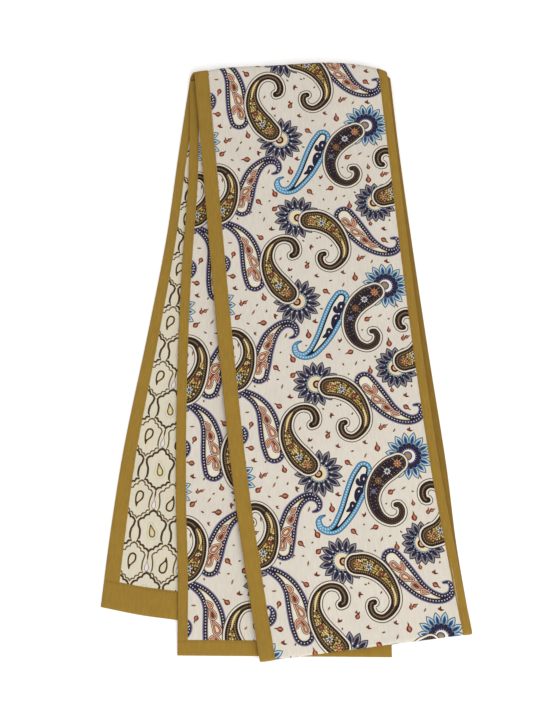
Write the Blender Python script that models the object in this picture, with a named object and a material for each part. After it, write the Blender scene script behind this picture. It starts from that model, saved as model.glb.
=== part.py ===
"""Skinny scarf folded flat: one long bound strip, laid over itself in four stretches.

Metres, +Z up, +X to the right and +Y towards the top folds.  The scarf lies on z = 0 and the
origin is under the middle of it.  From the surface up, the stretches are back, middle, inner and
front.  The front and back stretches meet in the outer top fold, the inner and middle ones in the
fold nested inside it, and the front and inner ones in the bottom fold.
"""

import math
from collections import namedtuple

import bmesh
import bpy
from mathutils import Matrix, Vector

# The strip
STRIP_WIDTH = 0.130
PANEL_WALL = 0.0010
BINDING_WALL = 0.0013
SEAM_GAP = 0.0003
JOIN_GAP = 0.0008

# How the stretches stack
LAYER_GAP = 0.0004
LAYER_RISE = BINDING_WALL + LAYER_GAP
DRAPE_RUN = 0.024
TOP_LOFT = {"back": 0.0, "middle": 0.0003, "inner": 0.0011, "front": 0.0014}
TOP_LOFT_RUN = 0.045
BOTTOM_LOFT = 0.0008
BOTTOM_LOFT_RUN = 0.030

# How far a fold bulges past the line where its cloth starts to turn
OUTER_FOLD_BULGE = 0.0031
INNER_FOLD_BULGE = 0.0012
BOTTOM_FOLD_BULGE = 0.0012
INNER_FOLD_INSET = 0.0010

# Bands at the two ends of the strip
MIDDLE_BAND = 0.0095
BACK_BAND = 0.0175

# Mesh density
ROW_PITCH = 0.0105
PANEL_COLUMNS = 10
BINDING_COLUMNS = 1
WHOLE_COLUMNS = 12
FOLD_STEPS = 6
SHARP_ANGLE = math.radians(40)
REACH_PASSES = 10

GOLD = (0.36, 0.21, 0.045)
PRINTED_CREAM = (0.52, 0.44, 0.36)
TRELLIS_IVORY = (0.68, 0.62, 0.44)

# A section of a stretch: its middle lies at x, y, and its bindings are this wide on the side that shows
Section = namedtuple("Section", "y x left_binding right_binding")
FRONT_SECTIONS = (
    Section(0.200, 0.0160, 0.0097, 0.0060),
    Section(0.130, 0.0225, 0.0097, 0.0060),
    Section(0.060, 0.0290, 0.0097, 0.0060),
    Section(-0.010, 0.0360, 0.0097, 0.0060),
    Section(-0.080, 0.0440, 0.0097, 0.0060),
    Section(-0.130, 0.0515, 0.0097, 0.0060),
    Section(-0.185, 0.0605, 0.0097, 0.0060),
)
INNER_SECTIONS = (
    Section(0.200, 0.0180, 0.0080, 0.0080),
    Section(0.130, 0.0245, 0.0080, 0.0080),
    Section(0.060, 0.0320, 0.0080, 0.0080),
    Section(-0.010, 0.0400, 0.0080, 0.0080),
    Section(-0.080, 0.0485, 0.0080, 0.0080),
    Section(-0.130, 0.0530, 0.0080, 0.0080),
    Section(-0.185, 0.0605, 0.0080, 0.0080),
)
MIDDLE_SECTIONS = (
    Section(0.195, 0.0130, 0.0065, 0.0080),
    Section(0.120, 0.0130, 0.0065, 0.0080),
    Section(0.050, 0.0095, 0.0065, 0.0080),
    Section(-0.020, 0.0080, 0.0065, 0.0080),
    Section(-0.090, 0.0085, 0.0065, 0.0080),
    Section(-0.140, 0.0105, 0.0065, 0.0080),
    Section(-0.190, 0.0110, 0.0065, 0.0080),
)
BACK_SECTIONS = (
    Section(0.195, 0.0135, 0.0060, 0.0080),
    Section(0.130, 0.0055, 0.0060, 0.0080),
    Section(0.070, -0.0015, 0.0065, 0.0080),
    Section(0.000, -0.0130, 0.0075, 0.0080),
    Section(-0.070, -0.0255, 0.0085, 0.0080),
    Section(-0.120, -0.0320, 0.0095, 0.0080),
    Section(-0.165, -0.0365, 0.0100, 0.0080),
)

# Lines that cross the strip, from left to right: the crest of each fold, and the two raw ends
CrossPoint = namedtuple("CrossPoint", "x y")
TOP_CREST = (
    CrossPoint(-0.052, 0.1965),
    CrossPoint(-0.025, 0.2007),
    CrossPoint(0.004, 0.2022),
    CrossPoint(0.043, 0.2044),
    CrossPoint(0.070, 0.2014),
    CrossPoint(0.085, 0.1960),
)
BOTTOM_CREST = (CrossPoint(-0.0036, -0.1932), CrossPoint(0.1257, -0.1766))
MIDDLE_END = (CrossPoint(-0.0535, -0.1893), CrossPoint(0.0760, -0.1903))
BACK_END = (
    CrossPoint(-0.1014, -0.1604),
    CrossPoint(-0.0770, -0.1652),
    CrossPoint(-0.0540, -0.1683),
    CrossPoint(0.0270, -0.1800),
)

Stretch = namedtuple("Stretch", "name sections foot_line")
BACK = Stretch("back", BACK_SECTIONS, BACK_END)
MIDDLE = Stretch("middle", MIDDLE_SECTIONS, MIDDLE_END)
INNER = Stretch("inner", INNER_SECTIONS, BOTTOM_CREST)
FRONT = Stretch("front", FRONT_SECTIONS, BOTTOM_CREST)
STACK = (BACK, MIDDLE, INNER, FRONT)


def clear_scene():
    for item in list(bpy.data.objects):
        bpy.data.objects.remove(item, do_unlink=True)


def smooth_step(value):
    value = min(1.0, max(0.0, value))
    return value * value * (3.0 - 2.0 * value)


def read_curve(keys, values, at):
    """(value, slope) at a point on the smooth curve through the keys, which rise or fall steadily."""
    if keys[0] > keys[-1]:
        keys, values = keys[::-1], values[::-1]
    last = len(keys) - 1
    span = max(0, min(last - 1, sum(key <= at for key in keys) - 1))

    def slope_at(index):
        low, high = max(0, index - 1), min(last, index + 1)
        return (values[high] - values[low]) / (keys[high] - keys[low])

    width = keys[span + 1] - keys[span]
    start, end = values[span], values[span + 1]
    start_slope, end_slope = slope_at(span), slope_at(span + 1)
    if at < keys[span]:
        return start + start_slope * (at - keys[span]), start_slope
    if at > keys[span + 1]:
        return end + end_slope * (at - keys[span + 1]), end_slope
    t = (at - keys[span]) / width
    bend = 3.0 * (end - start) / width - 2.0 * start_slope - end_slope
    twist = 2.0 * (start - end) / width + start_slope + end_slope
    value = start + width * t * (start_slope + t * (bend + t * twist))
    return value, start_slope + t * (2.0 * bend + 3.0 * t * twist)


def read_sections(stretch, column, y):
    keys = [section.y for section in stretch.sections]
    values = [getattr(section, column) for section in stretch.sections]
    return read_curve(keys, values, y)


def line_height(line, x):
    return read_curve([point.x for point in line], [point.y for point in line], x)[0]


def plan_point(stretch, y, across):
    """Point of the section through the stretch's middle at y, this far to the right of that middle."""
    x, slope = read_sections(stretch, "x", y)
    length = math.hypot(1.0, slope)
    return Vector((x + across / length, y - across * slope / length))


def reach_line(stretch, across, line, offset):
    """The y of the stretch's middle from which a section meets the crossing line, moved up by the offset."""
    y = line[0].y + offset
    for _ in range(REACH_PASSES):
        point = plan_point(stretch, y, across(y))
        y += line_height(line, point.x) + offset - point.y
    return y


def cover(stretch, point):
    """1 over the stretch, falling smoothly to 0 just past its edges."""
    x, slope = read_sections(stretch, "x", point.y)
    beside = abs(point.x - x) / math.hypot(1.0, slope) - STRIP_WIDTH / 2
    below = line_height(stretch.foot_line, point.x) - point.y
    outside = math.hypot(max(0.0, beside), max(0.0, below))
    return 1.0 - smooth_step(outside / DRAPE_RUN)


def underside(stretch, point):
    """Height of the stretch's lower face: each layer below lifts it, and it sinks past their edges."""
    level = STACK.index(stretch)
    height = LAYER_RISE * sum(cover(lower, point) for lower in STACK[:level])
    below_top = line_height(TOP_CREST, point.x) - OUTER_FOLD_BULGE - point.y
    height += TOP_LOFT[stretch.name] * smooth_step(1.0 - below_top / TOP_LOFT_RUN)
    if stretch is FRONT:
        above_bottom = point.y - line_height(BOTTOM_CREST, point.x)
        height += BOTTOM_LOFT * smooth_step(1.0 - above_bottom / BOTTOM_LOFT_RUN)
    return height


def wall_point(stretch, y, across, wall):
    """Point on the middle surface of the stretch's wall."""
    point = plan_point(stretch, y, across)
    return Vector((point.x, point.y, underside(stretch, point) + wall / 2))


def lay_rows(stretch, span, columns, wall, foot_offset, top_offset):
    """Rows of wall points from the stretch's foot line up to its top fold, between the two offsets.

    span(share, y) is how far across the strip a column lies, for its share of the piece's width.
    """
    shares = [column / columns for column in range(columns + 1)]
    starts = []
    ends = []
    for share in shares:
        def across(y, share=share):
            return span(share, y)
        starts.append(reach_line(stretch, across, stretch.foot_line, foot_offset))
        ends.append(reach_line(stretch, across, TOP_CREST, top_offset))
    count = max(1, round((ends[0] - starts[0]) / ROW_PITCH))
    rows = []
    for row in range(count + 1):
        line = []
        for share, start, end in zip(shares, starts, ends):
            y = start + (end - start) * row / count
            line.append(wall_point(stretch, y, span(share, y), wall))
        rows.append(line)
    return rows


def turn_rows(first_row, last_row, bulge, outward):
    """Rows of a half turn from one layer's end row to the other's, both ends included."""
    rows = []
    for step in range(FOLD_STEPS + 1):
        angle = math.pi * (0.5 - step / FOLD_STEPS)
        row = []
        for first, last in zip(first_row, last_row):
            middle = (first + last) / 2
            row.append(middle + (first - last) / 2 * math.sin(angle) + outward * bulge * math.cos(angle))
        rows.append(row)
    return rows


def build_wall(name, rows, wall, material):
    """One closed wall of this thickness round a grid of middle-surface points."""
    last_row = len(rows) - 1
    last_column = len(rows[0]) - 1
    shape = bmesh.new()
    upper = []
    lower = []
    for i, row in enumerate(rows):
        upper.append([])
        lower.append([])
        for j, point in enumerate(row):
            along = rows[min(i + 1, last_row)][j] - rows[max(i - 1, 0)][j]
            across = row[min(j + 1, last_column)] - row[max(j - 1, 0)]
            offset = across.cross(along).normalized() * (wall / 2)
            upper[i].append(shape.verts.new(point + offset))
            lower[i].append(shape.verts.new(point - offset))
    for i in range(last_row):
        for j in range(last_column):
            shape.faces.new((upper[i][j], upper[i][j + 1], upper[i + 1][j + 1], upper[i + 1][j]))
            shape.faces.new((lower[i][j], lower[i + 1][j], lower[i + 1][j + 1], lower[i][j + 1]))
        shape.faces.new((upper[i + 1][0], lower[i + 1][0], lower[i][0], upper[i][0]))
        shape.faces.new((upper[i][-1], lower[i][-1], lower[i + 1][-1], upper[i + 1][-1]))
    for j in range(last_column):
        shape.faces.new((upper[0][j], lower[0][j], lower[0][j + 1], upper[0][j + 1]))
        shape.faces.new((upper[-1][j + 1], lower[-1][j + 1], lower[-1][j], upper[-1][j]))
    bmesh.ops.triangulate(shape, faces=shape.faces[:])
    mesh = bpy.data.meshes.new(name)
    shape.to_mesh(mesh)
    shape.free()
    mesh.shade_smooth()
    mesh.set_sharp_from_angle(angle=SHARP_ANGLE)
    mesh.materials.append(material)
    item = bpy.data.objects.new(name, mesh)
    bpy.context.scene.collection.objects.link(item)


def cloth(name, colour, roughness):
    material = bpy.data.materials.new(name)
    material.use_nodes = True
    shader = material.node_tree.nodes["Principled BSDF"]
    shader.inputs["Base Color"].default_value = (*colour, 1.0)
    shader.inputs["Roughness"].default_value = roughness
    shader.inputs["Metallic"].default_value = 0.0
    return material


def panel_span(stretch):
    """The width between the two bindings."""
    def span(share, y):
        left = read_sections(stretch, "left_binding", y)[0] + SEAM_GAP / 2 - STRIP_WIDTH / 2
        right = STRIP_WIDTH / 2 - read_sections(stretch, "right_binding", y)[0] - SEAM_GAP / 2
        return left + (right - left) * share
    return span


def left_span(stretch):
    def span(share, y):
        width = read_sections(stretch, "left_binding", y)[0] - SEAM_GAP / 2
        return width * share - STRIP_WIDTH / 2
    return span


def right_span(stretch):
    def span(share, y):
        width = read_sections(stretch, "right_binding", y)[0] - SEAM_GAP / 2
        return STRIP_WIDTH / 2 - width * (1.0 - share)
    return span


def whole_span(share, _):
    return STRIP_WIDTH * (share - 0.5)


def pieces_across(stretch, panel_name, panel_material, gold):
    """Name, span, columns, wall and material of a stretch's panel and two long bindings."""
    return (
        (panel_name, panel_span(stretch), PANEL_COLUMNS, PANEL_WALL, panel_material),
        (f"{stretch.name}_left_binding", left_span(stretch), BINDING_COLUMNS, BINDING_WALL, gold),
        (f"{stretch.name}_right_binding", right_span(stretch), BINDING_COLUMNS, BINDING_WALL, gold),
    )


def fold_start(bulge, wall):
    """How far inside a fold's crest its cloth starts to turn."""
    return bulge + wall / 2


def build_front(print_cloth, gold):
    """The front stretch, with the bottom fold under its foot and the outer fold over its top."""
    outward_down = Vector((BOTTOM_CREST[1].y - BOTTOM_CREST[0].y, BOTTOM_CREST[0].x - BOTTOM_CREST[1].x, 0.0))
    outward_down.normalize()
    for name, span, columns, wall, material in pieces_across(FRONT, "front_panel", print_cloth, gold):
        foot = fold_start(BOTTOM_FOLD_BULGE, BINDING_WALL)
        top = -fold_start(OUTER_FOLD_BULGE, BINDING_WALL)
        front_rows = lay_rows(FRONT, span, columns, wall, foot, top)
        inner_rows = lay_rows(INNER, span, columns, wall, foot, top)
        back_rows = lay_rows(BACK, span, columns, wall, foot, top)
        under = turn_rows(front_rows[0], inner_rows[0], BOTTOM_FOLD_BULGE, outward_down)[::-1]
        over = turn_rows(front_rows[-1], back_rows[-1], OUTER_FOLD_BULGE, Vector((0.0, 1.0, 0.0)))
        build_wall(name, under[:-1] + front_rows + over[1:], wall, material)


def build_inner(gold):
    """The hidden inner stretch, one wall across, with the nested fold over its top."""
    foot = fold_start(BOTTOM_FOLD_BULGE, BINDING_WALL) + JOIN_GAP
    top = -fold_start(OUTER_FOLD_BULGE, BINDING_WALL) - INNER_FOLD_INSET
    inner_rows = lay_rows(INNER, whole_span, WHOLE_COLUMNS, BINDING_WALL, foot, top)
    middle_rows = lay_rows(MIDDLE, whole_span, WHOLE_COLUMNS, BINDING_WALL, foot, top)
    over = turn_rows(inner_rows[-1], middle_rows[-1], INNER_FOLD_BULGE, Vector((0.0, 1.0, 0.0)))
    build_wall("inner_stretch", inner_rows + over[1:], BINDING_WALL, gold)


def build_ended_stretch(stretch, panel_name, panel_material, gold, band, top_inset):
    """A stretch that ends in a band across its foot and meets a fold at its top."""
    top = -fold_start(OUTER_FOLD_BULGE, BINDING_WALL) - top_inset - JOIN_GAP
    for name, span, columns, wall, material in pieces_across(stretch, panel_name, panel_material, gold):
        rows = lay_rows(stretch, span, columns, wall, band + SEAM_GAP / 2, top)
        build_wall(name, rows, wall, material)
    above_band = band - SEAM_GAP / 2
    crest = lay_rows(stretch, whole_span, WHOLE_COLUMNS, BINDING_WALL, above_band, top)[0]
    foot = lay_rows(stretch, whole_span, WHOLE_COLUMNS, BINDING_WALL, 0.0, top)[0]
    build_wall(f"{stretch.name}_end_band", [foot, crest], BINDING_WALL, gold)


def centre_over_origin():
    """Moves every piece so that the middle of the part's box is over the origin, on the surface."""
    items = list(bpy.context.scene.objects)
    corners = [vertex.co for item in items for vertex in item.data.vertices]
    middle_x = (min(c.x for c in corners) + max(c.x for c in corners)) / 2
    middle_y = (min(c.y for c in corners) + max(c.y for c in corners)) / 2
    for item in items:
        item.data.transform(Matrix.Translation((-middle_x, -middle_y, 0.0)))


def main():
    clear_scene()
    gold = cloth("gold_cotton", GOLD, 0.85)
    print_cloth = cloth("paisley_print", PRINTED_CREAM, 0.8)
    trellis_cloth = cloth("trellis_print", TRELLIS_IVORY, 0.8)
    build_ended_stretch(BACK, "back_panel", trellis_cloth, gold, BACK_BAND, 0.0)
    build_ended_stretch(MIDDLE, "middle_panel", print_cloth, gold, MIDDLE_BAND, INNER_FOLD_INSET)
    build_inner(gold)
    build_front(print_cloth, gold)
    centre_over_origin()


main()
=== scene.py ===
"""Looks of the folded skinny scarf: printed panels, bound edges, stitching, floor, light and camera.

Lengths are metres and the frame's own axes, except the two prints, which are drawn in millimetres of
flat cloth: u runs across the strip from its middle, to the right, and s runs along it from the top.
"""

import math
from functools import partial

import bpy
import numpy as np
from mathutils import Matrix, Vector
from mathutils.geometry import delaunay_2d_cdt


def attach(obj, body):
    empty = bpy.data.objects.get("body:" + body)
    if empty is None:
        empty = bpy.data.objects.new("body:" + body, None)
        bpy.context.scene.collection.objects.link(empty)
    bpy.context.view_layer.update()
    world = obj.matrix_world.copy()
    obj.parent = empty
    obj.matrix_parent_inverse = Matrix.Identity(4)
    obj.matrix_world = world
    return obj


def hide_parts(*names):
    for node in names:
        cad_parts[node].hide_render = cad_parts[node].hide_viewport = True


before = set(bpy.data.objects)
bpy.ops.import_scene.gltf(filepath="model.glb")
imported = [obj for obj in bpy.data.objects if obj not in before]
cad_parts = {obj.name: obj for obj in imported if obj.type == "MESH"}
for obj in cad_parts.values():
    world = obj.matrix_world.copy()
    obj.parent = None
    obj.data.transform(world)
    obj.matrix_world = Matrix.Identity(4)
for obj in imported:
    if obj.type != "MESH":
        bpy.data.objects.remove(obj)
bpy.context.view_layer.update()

# ---------------------------------------------------------------- the strip, as the frame has it
STRIP_WIDTH = 0.130
HALF = STRIP_WIDTH / 2
PANEL_WALL = 0.0010
BINDING_WALL = 0.0013
SEAM_GAP = 0.0003
JOIN_GAP = 0.0008
LAYER_RISE = 0.0017
DRAPE_RUN = 0.024
TOP_LOFT = {"back": 0.0, "middle": 0.0003, "inner": 0.0011, "front": 0.0014}
TOP_LOFT_RUN = 0.045
BOTTOM_LOFT = 0.0008
BOTTOM_LOFT_RUN = 0.030
OUTER_FOLD_BULGE = 0.0031
INNER_FOLD_BULGE = 0.0012
BOTTOM_FOLD_BULGE = 0.0012
INNER_FOLD_INSET = 0.0010
MIDDLE_BAND = 0.0095
BACK_BAND = 0.0175
PLAN_MIDDLE = Vector((0.01215, 0.00560, 0.0))  # plan point that lies at the frame's origin
TOP_Y = 0.202  # where s = 0 on every stretch's middle line
LONG_RUN = (0.220, -0.225, 1800)  # from, to and count of the y values at which s is tabulated
REACH_ROUNDS = 12
FOLD_COLUMNS = 131

# Middle lines of the four stretches, from the top: y, x.
FRONT_MIDDLE = ((0.200, 0.0160), (0.130, 0.0225), (0.060, 0.0290), (-0.010, 0.0360), (-0.080, 0.0440),
                (-0.130, 0.0515), (-0.185, 0.0605))
INNER_MIDDLE = ((0.200, 0.0180), (0.130, 0.0245), (0.060, 0.0320), (-0.010, 0.0400), (-0.080, 0.0485),
                (-0.130, 0.0530), (-0.185, 0.0605))
MIDDLE_MIDDLE = ((0.195, 0.0130), (0.120, 0.0130), (0.050, 0.0095), (-0.020, 0.0080), (-0.090, 0.0085),
                 (-0.140, 0.0105), (-0.190, 0.0110))
BACK_MIDDLE = ((0.195, 0.0135), (0.130, 0.0055), (0.070, -0.0015), (0.000, -0.0130), (-0.070, -0.0255),
               (-0.120, -0.0320), (-0.165, -0.0365))
# Widths of the left and right bindings. The back's left one widens down its middle line's points.
FRONT_BINDINGS = (0.0097, 0.0060)
INNER_BINDINGS = (0.0080, 0.0080)
MIDDLE_BINDINGS = (0.0065, 0.0080)
BACK_BINDINGS = ((0.0060, 0.0060, 0.0065, 0.0075, 0.0085, 0.0095, 0.0100), 0.0080)
# Lines that cross the stretches, as x, y: the top folds, the slanted fold at the foot and the two ends.
TOP_CREST = ((-0.052, 0.1965), (-0.025, 0.2007), (0.004, 0.2022), (0.043, 0.2044), (0.070, 0.2014),
             (0.085, 0.1960))
BOTTOM_CREST = ((-0.0036, -0.1932), (0.1257, -0.1766))
MIDDLE_END = ((-0.0535, -0.1893), (0.0760, -0.1903))
BACK_END = ((-0.1014, -0.1604), (-0.0770, -0.1652), (-0.0540, -0.1683), (0.0270, -0.1800))


def read_curve(keys, values, at):
    """(values, slopes) at many points on the smooth curve through the keys."""
    keys, values = np.asarray(keys, float), np.asarray(values, float)
    if keys[0] > keys[-1]:
        keys, values = keys[::-1], values[::-1]
    slopes = np.empty_like(keys)
    slopes[1:-1] = (values[2:] - values[:-2]) / (keys[2:] - keys[:-2])
    slopes[0] = (values[1] - values[0]) / (keys[1] - keys[0])
    slopes[-1] = (values[-1] - values[-2]) / (keys[-1] - keys[-2])
    at = np.asarray(at, float)
    span = np.clip(np.searchsorted(keys, at, side="right") - 1, 0, len(keys) - 2)
    width = keys[span + 1] - keys[span]
    t = np.clip((at - keys[span]) / width, 0.0, 1.0)
    start, end = values[span], values[span + 1]
    first, last = slopes[span], slopes[span + 1]
    bend = 3.0 * (end - start) / width - 2.0 * first - last
    twist = 2.0 * (start - end) / width + first + last
    value = start + width * t * (first + t * (bend + t * twist))
    slope = first + t * (2.0 * bend + 3.0 * t * twist)
    past = np.clip(at - keys[-1], 0.0, None) + np.clip(at - keys[0], None, 0.0)
    return value + past * slope, slope


def smooth_step(value):
    value = np.clip(value, 0.0, 1.0)
    return value * value * (3.0 - 2.0 * value)


def line_height(line, x):
    return read_curve([p[0] for p in line], [p[1] for p in line], x)[0]


class Stretch:
    """One of the four stretches that the strip is folded into."""

    def __init__(self, name, middle, bindings, foot_line):
        self.name = name
        self.ys, self.xs = zip(*middle)
        self.lefts, self.rights = (np.broadcast_to(widths, len(middle)) for widths in bindings)
        self.foot_line = foot_line
        self.long_y = np.linspace(*LONG_RUN)
        self.long_x = read_curve(self.ys, self.xs, self.long_y)[0]
        steps = np.hypot(np.diff(self.long_x), np.diff(self.long_y))
        run = np.concatenate([[0.0], np.cumsum(steps)])
        self.long_s = run - np.interp(-TOP_Y, -self.long_y, run)

    def y_at(self, s):
        return np.interp(s, self.long_s, self.long_y)

    def s_at(self, y):
        return np.interp(-np.asarray(y), -self.long_y, self.long_s)

    def plan(self, u, y):
        x, slope = read_curve(self.ys, self.xs, y)
        length = np.hypot(1.0, slope)
        return x + u / length, y - u * slope / length

    def reach(self, u, line, offset):
        """The y of the middle line from which the column u meets a crossing line moved up by the offset."""
        y = np.full_like(u, line[0][1] + offset)
        for _ in range(REACH_ROUNDS):
            px, py = self.plan(u, y)
            y = y + line_height(line, px) + offset - py
        return y

    def cover(self, x, y):
        middle, slope = read_curve(self.ys, self.xs, y)
        beside = np.abs(x - middle) / np.hypot(1.0, slope) - HALF
        below = line_height(self.foot_line, x) - y
        outside = np.hypot(np.clip(beside, 0.0, None), np.clip(below, 0.0, None))
        return 1.0 - smooth_step(outside / DRAPE_RUN)


BACK = Stretch("back", BACK_MIDDLE, BACK_BINDINGS, BACK_END)
MIDDLE = Stretch("middle", MIDDLE_MIDDLE, MIDDLE_BINDINGS, MIDDLE_END)
INNER = Stretch("inner", INNER_MIDDLE, INNER_BINDINGS, BOTTOM_CREST)
FRONT = Stretch("front", FRONT_MIDDLE, FRONT_BINDINGS, BOTTOM_CREST)
STACK = (BACK, MIDDLE, INNER, FRONT)


def underside(stretch, x, y):
    """Height of the stretch's lower face: each layer below lifts it, and it sinks past their edges."""
    level = STACK.index(stretch)
    height = LAYER_RISE * sum((lower.cover(x, y) for lower in STACK[:level]), np.zeros_like(x))
    below_top = line_height(TOP_CREST, x) - OUTER_FOLD_BULGE - y
    height = height + TOP_LOFT[stretch.name] * smooth_step(1.0 - below_top / TOP_LOFT_RUN)
    if stretch is FRONT:
        above_bottom = y - line_height(BOTTOM_CREST, x)
        height = height + BOTTOM_LOFT * smooth_step(1.0 - above_bottom / BOTTOM_LOFT_RUN)
    return height


def fold_start(bulge):
    return bulge + BINDING_WALL / 2


def wall_middle(stretch, u, y, wall):
    x, py = stretch.plan(u, y)
    return np.stack([x, py, underside(stretch, x, py) + wall / 2], axis=-1)


class Fold:
    """The half turn of a stretch's wall round to the layer that it joins, column by column."""

    def __init__(self, stretch, onto, line, offset, bulge, outward):
        self.us = np.linspace(-HALF, HALF, FOLD_COLUMNS)
        y = stretch.reach(self.us, line, offset)
        self.near = wall_middle(stretch, self.us, y, 0.0)
        self.far = wall_middle(onto, self.us, onto.reach(self.us, line, offset), 0.0)
        self.start = stretch.s_at(y)
        radius = np.linalg.norm(self.near - self.far, axis=-1) / 2
        self.length = math.pi * np.sqrt((radius ** 2 + bulge ** 2) / 2)
        self.bulge = bulge
        self.outward = np.asarray(outward, float)

    def read(self, table, u):
        if table.ndim == 1:
            return np.interp(u, self.us, table)
        return np.stack([np.interp(u, self.us, table[:, k]) for k in range(3)], axis=-1)

    def points(self, u, past, wall):
        angle = math.pi * (0.5 - np.clip(past / self.read(self.length, u), 0.0, 1.0))[:, None]
        near, far = self.read(self.near, u), self.read(self.far, u)
        point = (near + far) / 2 + (near - far) / 2 * np.sin(angle)
        point += self.outward * self.bulge * np.cos(angle)
        point[:, 2] += wall / 2
        return point


def unit(x, y):
    return np.array([x, y, 0.0]) / math.hypot(x, y)


OUTER_LINE = (TOP_CREST, -fold_start(OUTER_FOLD_BULGE))
INNER_LINE = (TOP_CREST, -fold_start(OUTER_FOLD_BULGE) - INNER_FOLD_INSET)
BOTTOM_LINE = (BOTTOM_CREST, fold_start(BOTTOM_FOLD_BULGE))
OUT_DOWN = unit(BOTTOM_CREST[1][1] - BOTTOM_CREST[0][1], BOTTOM_CREST[0][0] - BOTTOM_CREST[1][0])
OUT_UP = unit(0.0, 1.0)
# Each stretch's folds, with the way that s grows into them.
FRONT.folds = ((Fold(FRONT, BACK, *OUTER_LINE, OUTER_FOLD_BULGE, OUT_UP), -1),
               (Fold(FRONT, INNER, *BOTTOM_LINE, BOTTOM_FOLD_BULGE, OUT_DOWN), 1))
INNER.folds = ((Fold(INNER, MIDDLE, *INNER_LINE, INNER_FOLD_BULGE, OUT_UP), -1),)
MIDDLE.folds = ()
BACK.folds = ()


def middle_surface(stretch, u, s, wall):
    """Points on the middle of the wall for cloth points (u, s), round the stretch's folds as well."""
    points = wall_middle(stretch, u, stretch.y_at(s), wall)
    for fold, sign in stretch.folds:
        past = sign * (s - fold.read(fold.start, u))
        turned = past > 0.0
        if turned.any():
            points[turned] = fold.points(u[turned], past[turned], wall)
    return points


def cloth_points(stretch, u, s, wall, lift):
    """Points at a lift from the wall's middle, towards the face that is up where the stretch lies flat."""
    u, s, lift = np.broadcast_arrays(np.asarray(u, float), np.asarray(s, float), np.asarray(lift, float))
    step = 1e-5
    here = middle_surface(stretch, u, s, wall)
    right = middle_surface(stretch, u + step, s, wall) - middle_surface(stretch, u - step, s, wall)
    up = middle_surface(stretch, u, s - step, wall) - middle_surface(stretch, u, s + step, wall)
    normal = np.cross(right, up)
    normal /= np.linalg.norm(normal, axis=-1)[:, None]
    return here + normal * lift[:, None] - np.array(PLAN_MIDDLE)


def ends_of(stretch, top_line, foot_line, us):
    """The s at which the columns us of a stretch start at the top and end at the foot."""
    ends = {-1: stretch.s_at(stretch.reach(us, *top_line)), 1: stretch.s_at(stretch.reach(us, *foot_line))}
    for fold, sign in stretch.folds:
        ends[sign] = fold.read(fold.start + sign * fold.length, us)
    return ends[-1], ends[1]


# ---------------------------------------------------------------- colours of the prints
def linear(red, green, blue):
    """Linear colour of an 8-bit screen colour."""
    def one(value):
        value /= 255.0
        return value / 12.92 if value <= 0.04045 else ((value + 0.055) / 1.055) ** 2.4
    return tuple(one(value) for value in (red, green, blue))


INK_8_BIT = {
    "cream": (218, 210, 197), "halo": (226, 218, 203), "outline": (86, 74, 60), "umber": (38, 27, 18),
    "brown": (70, 50, 36), "tan": (150, 124, 92), "olive": (92, 76, 42), "bark": (104, 80, 48),
    "bistre": (74, 54, 26), "moss": (106, 86, 44), "straw": (200, 184, 138), "buff": (224, 207, 174),
    "ochre": (170, 132, 64), "yellow": (204, 170, 88), "lemon": (226, 202, 138), "navy": (36, 31, 62),
    "midnight": (24, 22, 36), "slate": (122, 122, 148), "lavender": (122, 116, 142),
    "teal": (96, 136, 156), "sky": (88, 146, 180), "pale_sky": (182, 208, 220), "royal": (48, 94, 138),
    "plum": (40, 29, 36), "coral": (206, 134, 100), "salmon": (190, 126, 92), "rust": (136, 74, 50),
    "leaf": (190, 114, 82), "dark_rust": (104, 50, 34), "peach": (214, 172, 142),
    "white": (228, 222, 216), "chalk": (204, 198, 194), "twig": (132, 94, 66), "steel": (92, 100, 106),
    "ivory": (219, 211, 188), "pearl": (218, 212, 197), "wash": (232, 222, 196),
    "grey": (136, 132, 134), "dusk": (62, 58, 70),
}
INK = {name: linear(*colour) for name, colour in INK_8_BIT.items()}
INK_NAMES = list(INK)


def ray_at(turn):
    """The unit vector at an angle."""
    return np.array([math.cos(turn), math.sin(turn)])


def turns(count, first=0.0):
    """Evenly spaced angles all round, from the first."""
    return first + 2 * math.pi * np.arange(count) / count


class Drawing:
    """Flat polygons in one ink each. A later one covers an earlier one."""

    def __init__(self):
        self.shapes = []

    def add(self, points, ink):
        points = np.asarray(points, float)
        x, y = points[:, 0], points[:, 1]
        if np.dot(x, np.roll(y, -1)) < np.dot(y, np.roll(x, -1)):
            points = points[::-1]
        self.shapes.append((points, INK_NAMES.index(ink)))

    def disc(self, centre, radius, ink, sides=10, squash=1.0, turn=0.0):
        angles = np.arange(sides) * 2 * math.pi / sides
        x, y = radius * np.cos(angles), radius * squash * np.sin(angles)
        c, s = math.cos(turn), math.sin(turn)
        self.add(np.stack([centre[0] + c * x - s * y, centre[1] + s * x + c * y], axis=1), ink)

    def lens(self, base, tip, half_width, ink, fullest=0.45, steps=4, bow=0.0):
        """A pointed petal or leaf from base to tip, bent sideways by the bow."""
        base, tip = np.asarray(base, float), np.asarray(tip, float)
        along = tip - base
        side = np.array([-along[1], along[0]]) / max(np.linalg.norm(along), 1e-9)
        shares = np.linspace(0.0, 1.0, steps + 2)[1:-1, None]
        power = math.log(0.5) / math.log(fullest)
        widths = half_width * np.sin(math.pi * shares ** power)
        middle = base + along * shares + side * bow * np.sin(math.pi * shares)
        left, right = middle + side * widths, middle - side * widths
        self.add(np.concatenate([[base], right, [tip], left[::-1]]), ink)


def smooth_path(points, spacing):
    """Rows of (u, s, half width) a spacing apart on the smooth curve through the given rows."""
    points = np.asarray(points, float)
    run = np.concatenate([[0.0], np.cumsum(np.linalg.norm(np.diff(points[:, :2], axis=0), axis=1))])
    count = max(4, int(round(run[-1] / spacing)) + 1)
    at = np.linspace(0.0, run[-1], count)
    return np.stack([read_curve(run, points[:, k], at)[0] for k in range(3)], axis=1)


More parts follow.
